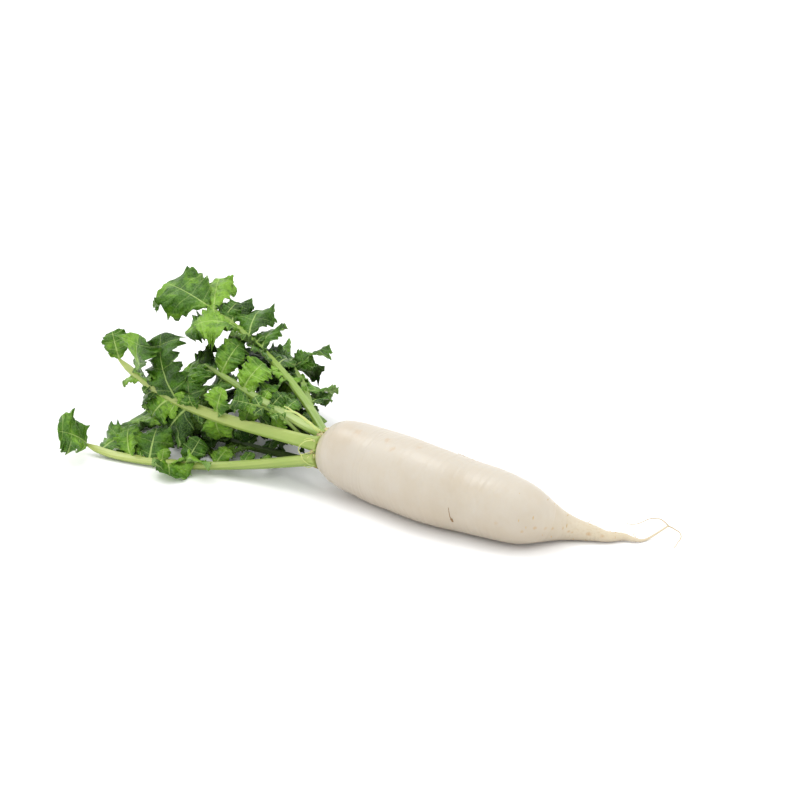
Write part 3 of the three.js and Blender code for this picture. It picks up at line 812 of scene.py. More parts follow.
def make_crown(stem):
    """The short stem, with low ridges where old leaves were attached."""
    rows, sides = CROWN_RINGS, CROWN_SIDES
    shares = np.linspace(0, 1, rows + 1)
    profile = through_points(
        [(0, CROWN_TIP_RADIUS), *CROWN_PROFILE, (CROWN_TOP, CROWN_TIP_RADIUS)], shares)
    angle = np.linspace(0, 2 * np.pi, sides, endpoint=False)[None, :]
    height, radius = profile[:, :1], np.maximum(profile[:, 1:], 0.15)
    wavy = 0.35 * np.sin(7 * angle + 2) * np.sin(height * 0.9) + 0.22 * np.sin(17 * angle - height)
    radius = radius + wavy * np.clip(radius / 8, 0, 1)
    points = np.stack([
        CROWN_START - height + 0 * angle,
        CROWN_CENTRE[0] + radius * np.sin(angle),
        CROWN_CENTRE[1] + radius * np.cos(angle),
    ], axis=-1)
    faces = grid_faces(rows, sides, wrapped=True)
    faces.append(tuple(range(sides)))
    faces.append(tuple(range(rows * sides, (rows + 1) * sides)))
    crown = mesh_object("crown_stem", points.reshape(-1, 3), faces)
    outward(crown)
    return finished(crown, "crown", "crown_skin", stem)


def crown_scales():
    """Scales in a loose ring round the crown's foot, each with its own size, lean and turn."""
    shells = []
    for k in range(SCALE_COUNT):
        seed = SCALE_SEED + k
        angle = 2 * math.pi * (k + draw(seed, 1) * 0.9) / SCALE_COUNT
        radius = between(SCALE_RADII, draw(seed, 2))
        outwards = np.array([0.0, math.sin(angle), math.cos(angle)])
        middle = np.array([CROWN_START, *CROWN_CENTRE])
        skin = np.interp(radius, [ROOT_STATIONS[0][3], ROOT_STATIONS[1][3]],
                         [ROOT_STATIONS[0][0], ROOT_STATIONS[1][0]])
        origin = middle + outwards * radius
        origin[0] = skin + SCALE_LIFT
        sideways = np.cross([1.0, 0.0, 0.0], outwards)
        along = unit(np.array([-1.0, 0.0, 0.0]) + outwards * between(SCALE_LEANS, draw(seed, 3))
                     + sideways * spread(seed, 4, SCALE_TURN))
        over = unit(outwards - along * float(outwards @ along))
        length = between(SCALE_LENGTHS, draw(seed, 5) ** 1.5)
        shells.append(blade_shell(dict(
            SCALE, seed=seed, origin=origin, along=along, over=over, length=length,
            half_width=length * SCALE["width_share"], lean=spread(seed, 6, 0.3),
            droop=between(SCALE_DROOPS, draw(seed, 7)), twist=spread(seed, 8, 0.6),
            fold=between(SCALE_FOLDS, draw(seed, 9)), phase=draw(seed, 10))))
    return shells


def make_scales(finish):
    joined, faces = joined_shells(crown_scales())
    scales = mesh_object("crown_scales", joined["points"], faces, {"tint": joined["tint"]},
                         {"leaf_grid": joined["leaf_grid"]})
    outward(scales)
    return finished(scales, "crown", "crown_skin", finish)


def strand(points, first, last, count=40, freedom=1):
    """A strand through the points whose half width goes from the first to the last value."""
    shares = np.linspace(0, 1, count)
    return dict(points=through_points(points, shares), half=first + (last - first) * shares ** 0.8,
                free=np.clip(shares * 4, 0, 1) * freedom)


def make_fibres(tree, finish):
    lines = [strand(points, half, half * 0.5) for points, half in FIBRES]
    fibres = grown(line_object("crown_fibres", lines), tree, Material=finish, **FIBRE_KINK)
    return finished(fibres, "crown", "crown_skin")


# ---- Geometry node trees ----

def new_tree(name, inputs):
    """A geometry tree with named inputs: name to (socket type, default)."""
    tree = bpy.data.node_groups.new(name, "GeometryNodeTree")
    tree.interface.new_socket("Geometry", in_out="INPUT", socket_type="NodeSocketGeometry")
    for label, (kind, default) in inputs.items():
        made = tree.interface.new_socket(label, in_out="INPUT", socket_type=kind)
        if default is not None:
            made.default_value = default
    tree.interface.new_socket("Geometry", in_out="OUTPUT", socket_type="NodeSocketGeometry")
    builder = Tree(tree)
    builder.inputs = tree.nodes.new("NodeGroupInput").outputs
    return builder


def finish_tree(builder, geometry):
    """Every tree ends in real geometry with its material set."""
    real = builder.add("GeometryNodeRealizeInstances", {"Geometry": geometry})
    smooth = builder.add("GeometryNodeSetShadeSmooth", {"Geometry": real.outputs["Geometry"]})
    dressed = builder.add("GeometryNodeSetMaterial", {
        "Geometry": smooth.outputs["Geometry"], "Material": builder.inputs["Material"]})
    end = builder.tree.nodes.new("NodeGroupOutput")
    builder.tree.links.new(dressed.outputs["Geometry"], end.inputs["Geometry"])
    return builder.tree


def grown(source, tree, **values):
    """Runs the tree on the source object and keeps the result as a plain mesh."""
    modifier = source.modifiers.new("grow", "NODES")
    modifier.node_group = tree
    sockets = {item.name: item.identifier for item in tree.interface.items_tree
               if item.in_out == "INPUT"}
    for label, value in values.items():
        modifier[sockets[label.replace("_", " ")]] = value
    seen = source.evaluated_get(bpy.context.evaluated_depsgraph_get())
    mesh = bpy.data.meshes.new_from_object(seen)
    source.modifiers.clear()
    before, source.data = source.data, mesh
    bpy.data.meshes.remove(before)
    mesh.name = source.name
    mesh.materials.clear()
    mesh.materials.append(values["Material"])
    mesh.polygons.foreach_set("material_index", np.zeros(len(mesh.polygons), np.int32))
    return source


def named(builder, name, kind="FLOAT"):
    made = builder.add("GeometryNodeInputNamedAttribute", {"Name": name}, data_type=kind)
    return made.outputs["Attribute"]


def stored(builder, geometry, name, value):
    made = builder.add("GeometryNodeStoreNamedAttribute", {
        "Geometry": geometry, "Name": name, "Value": value}, data_type="FLOAT", domain="POINT")
    return made.outputs["Geometry"]


def sampled(builder, line, share, name, kind="FLOAT"):
    """What the line carries under the name, at a share of the way along it."""
    return builder.add("GeometryNodeSampleCurve", {
        "Curves": line, "Value": named(builder, name, kind), "Factor": share},
        data_type=kind, mode="FACTOR")


def stalk_tree():
    """Sweeps a flattened, ribbed and grooved section along a line that carries its half width
    and the way its upper side faces, and closes both ends."""
    b = new_tree("Ribbed stalk", {
        "Rings": ("NodeSocketInt", 120), "Sides": ("NodeSocketInt", 48),
        "Ribs": ("NodeSocketFloat", 9.0), "Rib Depth": ("NodeSocketFloat", 0.03),
        "Flatness": ("NodeSocketFloat", 0.8), "Groove": ("NodeSocketFloat", 0.2),
        "Youth": ("NodeSocketFloat", 0.0), "Material": ("NodeSocketMaterial", None)})
    line = b.add("GeometryNodeMeshToCurve", {"Mesh": b.inputs["Geometry"]}).outputs["Curve"]
    sheet = b.add("GeometryNodeMeshGrid", {
        "Size X": 1.0, "Size Y": 1.0, "Vertices X": b.inputs["Rings"],
        "Vertices Y": b.inputs["Sides"]}).outputs["Mesh"]
    place = b.add("ShaderNodeSeparateXYZ", {
        "Vector": b.add("GeometryNodeInputPosition").outputs[0]})
    last = b.math("SUBTRACT", b.inputs["Rings"], 1.0)
    ring = b.times(b.math("ADD", place.outputs["X"], 0.5), last)
    share = b.math("DIVIDE", b.math("SUBTRACT", ring, 1.0), b.math("SUBTRACT", last, 2.0),
                   clamp=True)
    open_start = b.math("MULTIPLY", ring, 1.0, clamp=True)
    open_end = b.math("SUBTRACT", last, ring, clamp=True)
    turn = b.times(b.math("ADD", place.outputs["Y"], 0.5), 2 * math.pi)
    facing = sampled(b, line, share, "facing", "FLOAT_VECTOR")
    half = sampled(b, line, share, "half").outputs["Value"]
    shade = sampled(b, line, share, "shade").outputs["Value"]
    along = facing.outputs["Tangent"]
    slope = b.vector("DOT_PRODUCT", facing.outputs["Value"], along)
    over = b.vector("NORMALIZE", b.vector("SUBTRACT", facing.outputs["Value"],
                                          b.vector("SCALE", along, scale=slope)))
    across = b.vector("CROSS_PRODUCT", along, over)
    rib = b.math("COSINE", b.times(turn, b.inputs["Ribs"]))
    ribbed = b.math("ADD", b.times(rib, b.inputs["Rib Depth"]), 1.0)
    size = b.times(b.times(half, ribbed), b.times(open_start, open_end))
    cosine, sine = b.math("COSINE", turn), b.math("SINE", turn)
    hollow = b.math("POWER", b.math("MAXIMUM", cosine, 0.0), 5.0)
    rise = b.math("SUBTRACT", b.times(cosine, b.inputs["Flatness"]),
                  b.times(hollow, b.inputs["Groove"]))
    skin = b.vector("ADD", b.vector("SCALE", across, scale=b.times(sine, size)),
                    b.vector("SCALE", over, scale=b.times(rise, size)))
    bent = b.add("GeometryNodeSetPosition", {
        "Geometry": sheet, "Position": b.vector("ADD", facing.outputs["Position"], skin)})
    geometry = bent.outputs["Geometry"]
    for label, value in (("along", share), ("rib", rib), ("sine", sine), ("cosine", cosine),
                         ("shade", shade), ("youth", b.inputs["Youth"])):
        geometry = stored(b, geometry, label, value)
    closed = b.add("GeometryNodeMergeByDistance", {"Geometry": geometry, "Distance": 1e-6})
    return finish_tree(b, closed.outputs["Geometry"])


def strand_tree():
    """Turns lines that carry a half width into round tapered strands with closed ends."""
    b = new_tree("Wiry strand", {
        "Sides": ("NodeSocketInt", 8), "Kink": ("NodeSocketFloat", 0.0006),
        "Kink Scale": ("NodeSocketFloat", 160.0), "Material": ("NodeSocketMaterial", None)})
    line = b.add("GeometryNodeMeshToCurve", {"Mesh": b.inputs["Geometry"]}).outputs["Curve"]
    noise = b.add("ShaderNodeTexNoise", {"Scale": b.inputs["Kink Scale"], "Detail": 2.0})
    centred = b.vector("SUBTRACT", noise.outputs["Color"], (0.5, 0.5, 0.5))
    free = named(b, "free")
    kinked = b.add("GeometryNodeSetPosition", {
        "Geometry": line, "Offset": b.vector("SCALE", centred, scale=b.math(
            "MULTIPLY", free, b.inputs["Kink"]))}).outputs["Geometry"]
    section = b.add("GeometryNodeCurvePrimitiveCircle", {
        "Resolution": b.inputs["Sides"], "Radius": 1.0}, mode="RADIUS").outputs["Curve"]
    tube = b.add("GeometryNodeCurveToMesh", {
        "Curve": kinked, "Profile Curve": section, "Scale": named(b, "half"),
        "Fill Caps": True})
    return finish_tree(b, tube.outputs["Mesh"])


def scar_tree():
    """Scatters small flat scars over a skin, more where its chance is high."""
    b = new_tree("Skin scars", {
        "Density": ("NodeSocketFloat", 3000.0), "Seed": ("NodeSocketInt", 4),
        "Size": ("NodeSocketFloat", 0.001), "Material": ("NodeSocketMaterial", None)})
    spots = b.add("GeometryNodeDistributePointsOnFaces", {
        "Mesh": b.inputs["Geometry"], "Seed": b.inputs["Seed"],
        "Density": b.times(named(b, "scar_chance"), b.inputs["Density"])},
        distribute_method="RANDOM")
    lens = b.add("GeometryNodeMeshUVSphere", {"Segments": 10, "Rings": 6, "Radius": 1.0})
    flat = b.add("GeometryNodeTransform", {
        "Geometry": lens.outputs["Mesh"], "Scale": (0.28, 1.0, 0.12)})
    faced = b.add("FunctionNodeAlignRotationToVector", {
        "Vector": spots.outputs["Normal"]}, axis="Z")
    turned = b.add("FunctionNodeAlignRotationToVector", {
        "Rotation": faced.outputs["Rotation"], "Vector": (1.0, 0.12, 0.0)},
        axis="X", pivot_axis="Z")
    size = b.add("FunctionNodeRandomValue", {
        "Seed": b.inputs["Seed"], 2: 0.35, 3: 1.15}, data_type="FLOAT").outputs[1]
    placed = b.add("GeometryNodeInstanceOnPoints", {
        "Points": spots.outputs["Points"], "Instance": flat.outputs["Geometry"],
        "Rotation": turned.outputs["Rotation"],
        "Scale": b.times(size, b.inputs["Size"])})
    return finish_tree(b, placed.outputs["Instances"])


# ---- Stalks ----

def line_object(name, lines):
    """One mesh of separate lines, each with its points, half widths and other values."""
    points, edges, half, facing, free, shade = [], [], [], [], [], []
    for line in lines:
        start = len(points)
        count = len(line["points"])
        points.extend(line["points"])
        edges.extend((start + k, start + k + 1) for k in range(count - 1))
        half.extend(np.asarray(line["half"]) * MM)
        facing.extend(line.get("facing", np.zeros((count, 3))))
        free.extend(line.get("free", np.zeros(count)))
        shade.extend(line.get("shade", np.zeros(count)))
    mesh = bpy.data.meshes.new(name)
    mesh.from_pydata((np.asarray(points) * MM).tolist(), edges, [])
    for label, values in (("half", half), ("free", free), ("shade", shade)):
        mesh.attributes.new(label, "FLOAT", "POINT").data.foreach_set("value", np.float32(values))
    mesh.attributes.new("facing", "FLOAT_VECTOR", "POINT").data.foreach_set(
        "vector", np.float32(facing).ravel())
    made = bpy.data.objects.new(name, mesh)
    bpy.context.scene.collection.objects.link(made)
    return made


def make_stalk(leaf, canopy, tree, finish):
    t = np.linspace(STALK_START, 1, STALK_LINE)
    point, _, over, _ = stalk_frames(leaf, t)
    clasp = 1 + CLASP * np.exp(-(t - STALK_START) / CLASP_LENGTH)
    tip = STALK_POINT + (1 - STALK_POINT) * np.clip((1 - t) / STALK_TIP, 0, 1) ** 0.6
    half = stalk_half_width(leaf, np.maximum(t, 0)) * clasp * tip
    point[:, 2] = above_floor(point[:, 2], half)
    youth = (PALE_STALK[1] - leaf["half_width"]) / (PALE_STALK[1] - PALE_STALK[0])
    source = line_object(leaf["name"] + "_stalk", [dict(
        points=point, half=half, facing=over, shade=canopy.shade(point))])
    stalk = grown(source, tree, Flatness=STALK_FLATNESS, Youth=min(max(youth, 0.0), 1.0),
                  Material=finish, **STALK_SHAPE)
    outward(stalk)
    return finished(stalk, leaf["name"], "leaf")


# ---- Blades ----

def between(limits, share):
    return limits[0] + (limits[1] - limits[0]) * share


def turned(first, second, angle):
    """The first vector turned towards the second by an angle in radians."""
    return first * math.cos(angle) + second * math.sin(angle)


def shape_lobe(leaf, kind, t, length, along, flat, seed):
    """A lobe with its midrib along the first way and its upper side the second way."""
    half = float(stalk_half_width(leaf, t))
    origin = stalk_frames(leaf, t)[0][0].copy()
    origin[2] = above_floor(origin[2], half)
    return dict(
        kind, seed=seed, origin=origin, along=along, length=length,
        over=turned(flat, np.cross(along, flat), spread(seed, 3, ROLL_SPREAD)),
        half_width=length * kind["width_share"] * (1 + spread(seed, 4, WIDTH_SPREAD)),
        lean=spread(seed, 13, LEAN_SPREAD),
        foot_half_width=min(half * FOOT_SHARE, length * FOOT_REACH),
        droop=leaf["droop"] * (1 + spread(seed, 5, DROOP_SPREAD)),
        twist=spread(seed, 6, TWIST_SPREAD),
        fold=between(FOLD_RANGE, draw(seed, 7)),
        curl=between(CURL_RANGE, draw(seed, 8)),
        ruffle=between(RUFFLE_RANGE, draw(seed, 9)),
        phase=draw(seed, 10),
    )


def end_lobe(leaf, seed):
    along, over, across = (value[0] for value in stalk_frames(leaf, END_LOBE_AT)[1:])
    rise, swing, roll = (math.radians(angle) for angle in leaf.get("end_turn", (0, 0, 0)))
    raised, flat = turned(along, over, rise), turned(over, -along, rise)
    ahead, beside = turned(raised, across, swing), turned(across, -raised, swing)
    flat = turned(flat, beside, roll)
    return shape_lobe(leaf, END_LOBE, END_LOBE_AT, leaf["end"], ahead, flat, seed)


def side_lobe(leaf, row, seed):
    t, side, length, lift, sweep = row
    along, over, across = (value[0] for value in stalk_frames(leaf, t)[1:])
    rise = math.radians(lift)
    outwards = turned(across * side, over, rise)
    flat = turned(over, across * -side, rise)
    ahead = turned(along, outwards, math.radians(sweep))
    kind = SMALL_LOBE if length < SMALL_LOBE_LENGTH else SIDE_LOBE
    return shape_lobe(leaf, kind, t, length, ahead, flat, seed)


def grown_lobes(leaf, first_seed):
    """Rows like those of PLACED_LOBES, for a leaf that grows its lobes by rule."""
    count = leaf["pairs"] * 2
    rows = []
    for k in range(count):
        seed = first_seed + k
        share = (k + draw(seed, 11) * PLACE_SPREAD) / count
        t = leaf["first_lobe"] + (LAST_LOBE - leaf["first_lobe"]) * share
        growth = SHORTEST_LOBE + (1 - SHORTEST_LOBE) * share ** LOBE_GROWTH
        length = leaf["lobe"] * growth * (1 + spread(seed, 12, LENGTH_SPREAD))
        lift = leaf["lift"][k % 2] + spread(seed, 1, LIFT_SPREAD)
        sweep = SWEEP_AT_CROWN - SWEEP_FALL * t + spread(seed, 2, SWEEP_SPREAD)
        rows.append((t, -1 if k % 2 == 0 else 1, length, lift, sweep))
    return rows


def leaf_lobes(leaf):
    first = leaf["seed"] * 100
    rows = PLACED_LOBES.get(leaf["name"]) or grown_lobes(leaf, first + 1)
    lobes = [end_lobe(leaf, first)]
    lobes += [side_lobe(leaf, row, first + 1 + k) for k, row in enumerate(rows)]
    lobes += [side_lobe(leaf, row, first + LEAFLET_SEED + k)
              for k, row in enumerate(leaflet_rows(rows, first + LEAFLET_SEED))]
    return lobes


def leaflet_rows(rows, first_seed):
    """The small leaflets that grow between each two lobes of a side."""
    leaflets = []
    for side in (-1, 1):
        own = sorted(row for row in rows if row[1] == side)
        for low, high in zip(own[:-1], own[1:]):
            seed = first_seed + len(leaflets)
            t = low[0] + (high[0] - low[0]) * between(LEAFLET_PLACES, draw(seed, 1))
            if t < FIRST_LEAFLET:
                continue
            length = (low[2] + high[2]) / 2 * between(LEAFLET_SHARE, draw(seed, 2))
            lift = (low[3] + high[3]) / 2 + spread(seed, 3, LEAFLET_LIFT_SPREAD)
            sweep = LEAFLET_SWEEP + spread(seed, 4, LEAFLET_SWEEP_SPREAD)
            leaflets.append((t, side, length, lift, sweep))
    return leaflets


def tooth_beat(place):
    return 1 - np.abs(2 * (place % 1) - 1)


def lobe_half_width(lobe, u, side):
    peak = ROUND_BASE / (ROUND_BASE + ROUND_TIP)
    rise = (u / peak) ** ROUND_BASE
    fall = ((1 - u) / (1 - peak)) ** ROUND_TIP
    beat = np.sin(np.pi / 2 * tooth_beat(u * lobe["teeth"])) ** 0.8
    tooth = 1 - NOTCH_DEPTH + (TOOTH_DEPTH + NOTCH_DEPTH) * beat
    widest = lobe["half_width"] * (1 + side * lobe["lean"])
    return (widest * (rise * fall * tooth + TIP_SHARE * u * u)
            + lobe["foot_half_width"] * (1 - u) ** 2)


def saw_teeth(place):
    """Teeth that lean to the tip: a slow rise and a steep fall."""
    step = place % 1
    return np.where(step < SAW_LEAN, step / SAW_LEAN, (1 - step) / (1 - SAW_LEAN))


def lobe_middle(lobe):
    """Middle surface of a blade as a grid of points, with its grid values u, v and half width."""
    u = np.linspace(0, 1, lobe["rows"] + 1)[:, None]
    s = np.linspace(-1, 1, lobe["columns"] + 1)[None, :]
    v = np.sign(s) * np.abs(s) ** COLUMN_CROWDING
    size, reach_out = np.abs(v), np.sign(v)
    seed, teeth = lobe["seed"], lobe["teeth"]
    other = np.where(v < 0, 1.0, 0.0)
    turn = (lobe["droop"] * u)[..., None]
    along = lobe["along"] * np.cos(turn) - lobe["over"] * np.sin(turn)
    flat = lobe["over"] * np.cos(turn) + lobe["along"] * np.sin(turn)
    side = np.cross(along, flat)
    twist = (lobe["twist"] * u)[..., None]
    across = side * np.cos(twist) + flat * np.sin(twist)
    over = flat * np.cos(twist) - side * np.sin(twist)
    half = lobe_half_width(lobe, u, reach_out)
    cuts = saw_teeth(u * teeth * SAW_TEETH + draw(seed, 21) + other * draw(seed, 23))
    half = half * (1 + SAW_DEPTH * (cuts - 0.5) * np.clip(u * 5, 0, 1))
    edge = size * half
    wave = np.sin(2 * np.pi * (lobe["waves"] * u + lobe["phase"] + other * SIDE_PHASE))
    rise = edge * math.sin(lobe["fold"]) + v ** 2 * half * (lobe["ruffle"] * wave - lobe["curl"])
    for k, (count, depth) in enumerate(FRILLS):
        place = teeth * count * u + draw(seed, 24 + k) + other * FRILL_PHASE
        beat = np.sin(2 * np.pi * place)
        rise = rise + size ** 3 * half * depth * beat
    pillow = 0.5 - 0.5 * np.cos(2 * np.pi * (u * teeth - 0.5))
    rise = rise + half * PILLOW * pillow * size * (1.02 - size) * 4
    length_mm = u * lobe["length"]
    for k in range(CRUMPLE_WAVES):
        pitch = between(CRUMPLE_PITCH, draw(seed, 40 + k))
        way = draw(seed, 50 + k) * np.pi
        place = length_mm * math.cos(way) + v * half * math.sin(way)
        beat = np.sin(2 * np.pi * (place / pitch + draw(seed, 60 + k)))
        rise = rise + CRUMPLE * beat * size ** 0.5
    forward = edge * VEIN_SLOPE * (1 - u)
    reach = lobe["length"] * np.sin(turn) / lobe["droop"]
    drop = lobe["length"] * (1 - np.cos(turn)) / lobe["droop"]
    points = lobe["origin"] + lobe["along"] * reach - lobe["over"] * drop
    points = points + across * (v * half * math.cos(lobe["fold"]))[..., None]
    points = points + over * rise[..., None] + along * forward[..., None]
    points[..., 2] = above_floor(points[..., 2], FLOOR_CLEARANCE)
    return points, u, v, half


def blade_shell(lobe):
    """Closed shell of one blade: points, faces and the values that its finish reads."""
    middle, u, v, half = lobe_middle(lobe)
    rows, columns = lobe["rows"], lobe["columns"]
    down = np.gradient(middle, axis=0)
    over = unit(np.cross(np.gradient(middle, axis=1), down))
    if np.sum(over[rows // 3, columns // 2] * lobe["over"]) < 0:
        over = -over
    offset = v * half
    rib_size = lobe["foot_half_width"] * RIB_SHARE * (1 - u) ** 0.8 + RIB_TIP
    ridge = rib_size * np.exp(-(offset / (rib_size * 0.9 + 0.25)) ** 2)
    groove = RIB_GROOVE * ridge
    thickness = BLADE_THICKNESS / 2
    top = middle + over * (thickness - groove)[..., None]
    bottom = middle - over * (thickness + ridge)[..., None]
    bottom[..., 2] = np.maximum(bottom[..., 2], LEAST_HEIGHT)
    top[..., 2] = np.maximum(top[..., 2], bottom[..., 2] + LEAST_THICKNESS)
    count = (rows + 1) * (columns + 1)
    points = np.vstack([top.reshape(-1, 3), bottom.reshape(-1, 3)])
    upper = grid_faces(rows, columns)
    lower = [face[::-1] for face in grid_faces(rows, columns, count)]
    width = columns + 1
    ring = list(range(columns)) + [k * width + columns for k in range(rows)]
    ring += [rows * width + k for k in range(columns, 0, -1)]
    ring += [k * width for k in range(rows, 0, -1)]
    rim = [(here, here + count, beside + count, beside)
           for here, beside in zip(ring, ring[1:] + ring[:1])]
    ones = np.ones_like(offset)
    grid = np.stack([offset, (u * lobe["teeth"]) * ones,
                     lobe["length"] / lobe["teeth"] * ones], -1).reshape(-1, 3)
    uv = np.stack([offset, u * lobe["length"] * ones], -1).reshape(-1, 2)
    uv = uv + [draw(lobe["seed"], 31) * GRAIN_SPREAD, draw(lobe["seed"], 32) * GRAIN_SPREAD]
    return dict(
        points=points, faces=upper + lower + rim,
        leaf_grid=np.vstack([grid, grid]), uv=np.vstack([uv, uv]),
        under=np.repeat([0.0, 1.0], count),
        tint=np.full(2 * count, draw(lobe["seed"], 33)),
        rib=np.tile((rib_size * ones).ravel(), 2),
    )


class Canopy:
    """The tops of all blades on a square grid, to tell how deep a point lies under them."""

    def __init__(self, points):
        self.low = points[:, :2].min(axis=0) - 2 * CANOPY_CELL
        cells = self.cells(points)
        tops = np.full(cells.max(axis=0) + 3, NO_BLADE)
        np.maximum.at(tops, (cells[:, 0], cells[:, 1]), points[:, 2])
        total, count = np.zeros_like(tops), np.zeros_like(tops)
        for across in (-1, 0, 1):
            for down in (-1, 0, 1):
                moved = np.roll(tops, (across, down), (0, 1))
                total += np.where(moved > NO_BLADE, moved, 0)
                count += moved > NO_BLADE
        self.tops = np.where(count > 0, total / np.maximum(count, 1), NO_BLADE)

    def cells(self, points):
        return ((points[:, :2] - self.low) / CANOPY_CELL).astype(int)

    def shade(self, points):
        """The share of full shade at each point."""
        cells = np.clip(self.cells(points), 0, np.array(self.tops.shape) - 1)
        depth = self.tops[cells[:, 0], cells[:, 1]] - points[:, 2]
        return np.clip((depth - SHADE_DEPTHS[0]) / (SHADE_DEPTHS[1] - SHADE_DEPTHS[0]), 0, 1)


def canopy_over(leaf, leaf_shells):
    """The blades that shade a leaf: an old, thick leaf isn't shaded by its own."""
    young = leaf["half_width"] < PALE_STALK[0]
    names = [name for name in leaf_shells if young or name != leaf["name"]]
    return Canopy(np.vstack([shell["points"] for name in names for shell in leaf_shells[name]]))


def joined_shells(shells):
    """One set of values and one list of faces from many shells."""
    faces, start = [], 0
    for shell in shells:
        faces.extend([tuple(k + start for k in face) for face in shell["faces"]])
        start += len(shell["points"])
    joined = {key: np.concatenate([shell[key] for shell in shells])
              for key in ("points", "leaf_grid", "uv", "under", "tint", "rib")}
    return joined, faces


def make_blades(leaf, shells, canopy, finish):
    joined, faces = joined_shells(shells)
    light = OPEN_LEAVES.get(leaf["name"], dict(shade=1.0, greens=(0.0, 1.0)))
    joined["shade"] = canopy.shade(joined["points"]) * light["shade"]
    joined["tint"] = between(light["greens"], joined["tint"])
    blades = mesh_object(leaf["name"] + "_blades", joined["points"], faces,
                         {key: joined[key] for key in ("under", "tint", "rib", "shade")},
                         {"leaf_grid": joined["leaf_grid"]}, joined["uv"])
    outward(blades)
    return finished(blades, leaf["name"], "leaf", finish)


# ---- Hairs and scars ----

def on_skin(places, sink):
    """Points on the root's skin, a little inside it, at shares along it and angles round it."""
    shares = np.array([share for share, _ in places])
    angles = np.radians([around for _, around in places])[:, None]
    axis, _, over, across = root_frames(shares)
    out = across * np.sin(angles) + over * np.cos(angles)
    return axis + out * (root_radii(shares) - sink)[:, None]


def make_hairs(tree, finish):
    """The fine hairs of the tail and one that lies on the skin."""
    lines = [strand(points, *halves) for points, halves in TAIL_HAIRS]
    lying = strand(on_skin(SKIN_HAIR, 0.0), *SKIN_HAIR_HALVES, freedom=0.15)
    source = line_object("tail_hairs", lines + [lying])
    hairs = grown(source, tree, Material=finish, **HAIR_KINK)
    return finished(hairs, "root", "root_skin")


def make_crack(tree, finish):
    """A short dark crack in the skin that ends in a pit."""
    line = strand(on_skin(SKIN_CRACK, SKIN_CRACK_DEPTH), *SKIN_CRACK_HALVES, freedom=0.1)
    pit = strand(on_skin(SKIN_PIT, SKIN_PIT_DEPTH), *SKIN_PIT_HALVES, count=12, freedom=0)
    crack = grown(line_object("skin_crack", [line, pit]), tree, Material=finish, **CRACK_KINK)
    return finished(crack, "root", "root_skin")


def make_scars(root, tree, finish):
    """Small cross scars: many on the tail and hardly any on the body."""
    skin = bpy.data.objects.new("root_scars", root.data.copy())
    bpy.context.scene.collection.objects.link(skin)
    skin.data.materials.clear()
    place = np.empty(len(skin.data.vertices) * 3, np.float32)
    skin.data.vertices.foreach_get("co", place)
    along = place.reshape(-1, 3)[:, 0] / MM
    on_tail = np.clip((along - SCAR_TAIL[0]) / (SCAR_TAIL[1] - SCAR_TAIL[0]), 0, 1)
    chance = SCAR_CHANCES[0] + on_tail * SCAR_CHANCES[1]
    chance = chance * (along < SCAR_ENDS[1]) * (along > SCAR_ENDS[0])
    skin.data.attributes.new("scar_chance", "FLOAT", "POINT").data.foreach_set(
        "value", chance.astype(np.float32))
    return finished(grown(skin, tree, Material=finish, **SCARS), "root", "root_skin")


# ---- Stage ----

FLOOR_REACH = 9000                  # millimetres from the middle to each side


def make_stage():
    corners = [(x * FLOOR_REACH, y * FLOOR_REACH, 0)
               for x, y in ((-1, -1), (1, -1), (1, 1), (-1, 1))]
    floor = mesh_object("floor", corners, [(0, 1, 2, 3)], smooth=False)
    paper = Material("pale_floor", Roughness=0.9)
    paper.colour(paper.mix(paper.noise(3.0), rgb(0.93, 0.93, 0.93), rgb(0.95, 0.95, 0.95)))
    floor.data.materials.append(paper.material)


DOME_STRENGTH = (1.22, 1.42)        # at the horizon and overhead
# Broad lights: side that it comes from, spread in degrees and strength.
BROAD_LIGHTS = {
    "key_light": ((0.7, 0.25, 0.9), 40, 0.25),
    "top_light": ((-0.44, 0.08, 0.9), 26, 0.75),
}


def soft_sun(name, side, spread_degrees, strength):
    """A broad light from far away on the given side."""
    light = bpy.data.lights.new(name, "SUN")
    light.angle = math.radians(spread_degrees)
    light.energy = strength
    made = bpy.data.objects.new(name, light)
    made.rotation_euler = Vector(side).to_track_quat("Z", "Y").to_euler()
    bpy.context.scene.collection.objects.link(made)


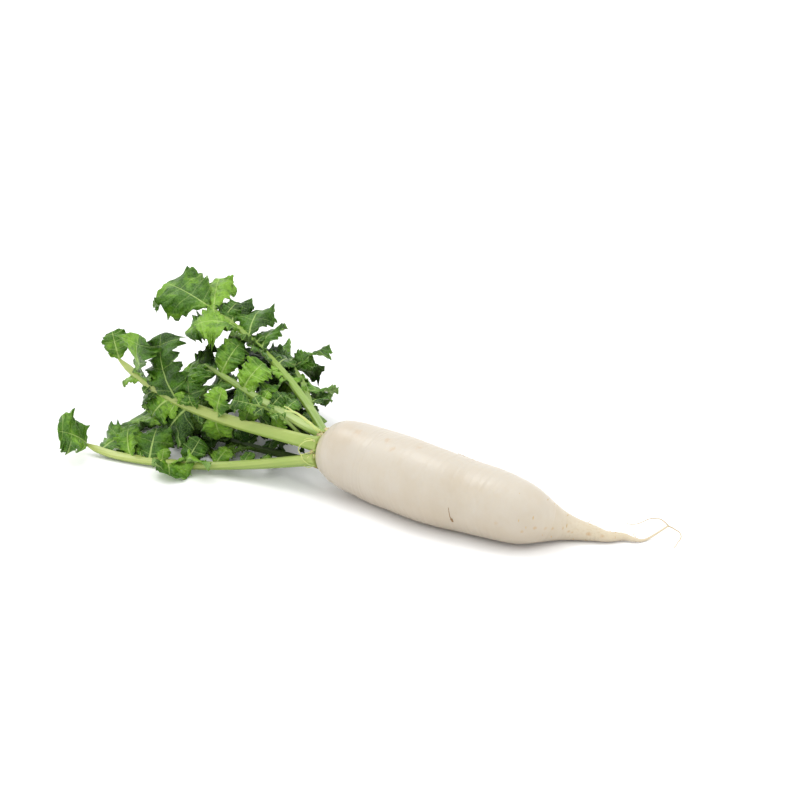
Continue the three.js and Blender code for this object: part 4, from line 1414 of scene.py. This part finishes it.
def make_lights():
    """A studio dome, bright overhead and dimmer low down, and two broad lights."""
    world = bpy.data.worlds.new("studio")
    world.use_nodes = True
    dome = Tree(world.node_tree)
    way = dome.add("ShaderNodeTexCoord").outputs["Generated"]
    height = dome.add("ShaderNodeSeparateXYZ", {"Vector": way}).outputs["Z"]
    background = world.node_tree.nodes["Background"].inputs
    dome.feed(background["Color"], rgb(1.0, 1.0, 1.0))
    dome.feed(background["Strength"], dome.ramp(height, 0.0, 0.9, *DOME_STRENGTH))
    bpy.context.scene.world = world
    for name, values in BROAD_LIGHTS.items():
        soft_sun(name, *values)


CAMERA_AZIMUTH = 28                 # degrees
CAMERA_ELEVATION = 22
CAMERA_DISTANCE = 1.74              # metres
CAMERA_TARGET = (-0.0679, 0.1467, 0.030)
FOCAL_PIXELS = 1900
FRAME_PIXELS = 800
SENSOR = 36.0                       # millimetres


def make_camera():
    turn, rise = math.radians(CAMERA_AZIMUTH), math.radians(CAMERA_ELEVATION)
    back = Vector((math.sin(turn) * math.cos(rise), -math.cos(turn) * math.cos(rise),
                   math.sin(rise)))
    lens = bpy.data.cameras.new("camera")
    lens.sensor_width = SENSOR
    lens.lens = SENSOR * FOCAL_PIXELS / FRAME_PIXELS
    camera = bpy.data.objects.new("camera", lens)
    camera.location = Vector(CAMERA_TARGET) + back * CAMERA_DISTANCE
    camera.rotation_euler = (-back).to_track_quat("-Z", "Y").to_euler()
    bpy.context.scene.collection.objects.link(camera)
    bpy.context.scene.camera = camera


# ---- The radish ----

bpy.context.scene.view_settings.view_transform = "Standard"
make_camera()
make_stage()
make_lights()

root = make_root(root_finish())
make_scars(root, scar_tree(), scar_finish())
strands = strand_tree()
make_hairs(strands, hair_finish())
make_crack(strands, crack_finish())
make_crown(crown_finish())
make_scales(scale_finish())
make_fibres(strands, fibre_finish())
stalk_nodes, stalk_green, blade_green = stalk_tree(), stalk_finish(), blade_finish()
leaf_shells = {leaf["name"]: [blade_shell(lobe) for lobe in leaf_lobes(leaf)] for leaf in LEAVES}
for leaf in LEAVES:
    canopy = canopy_over(leaf, leaf_shells)
    make_stalk(leaf, canopy, stalk_nodes, stalk_green)
    make_blades(leaf, leaf_shells[leaf["name"]], canopy, blade_green)
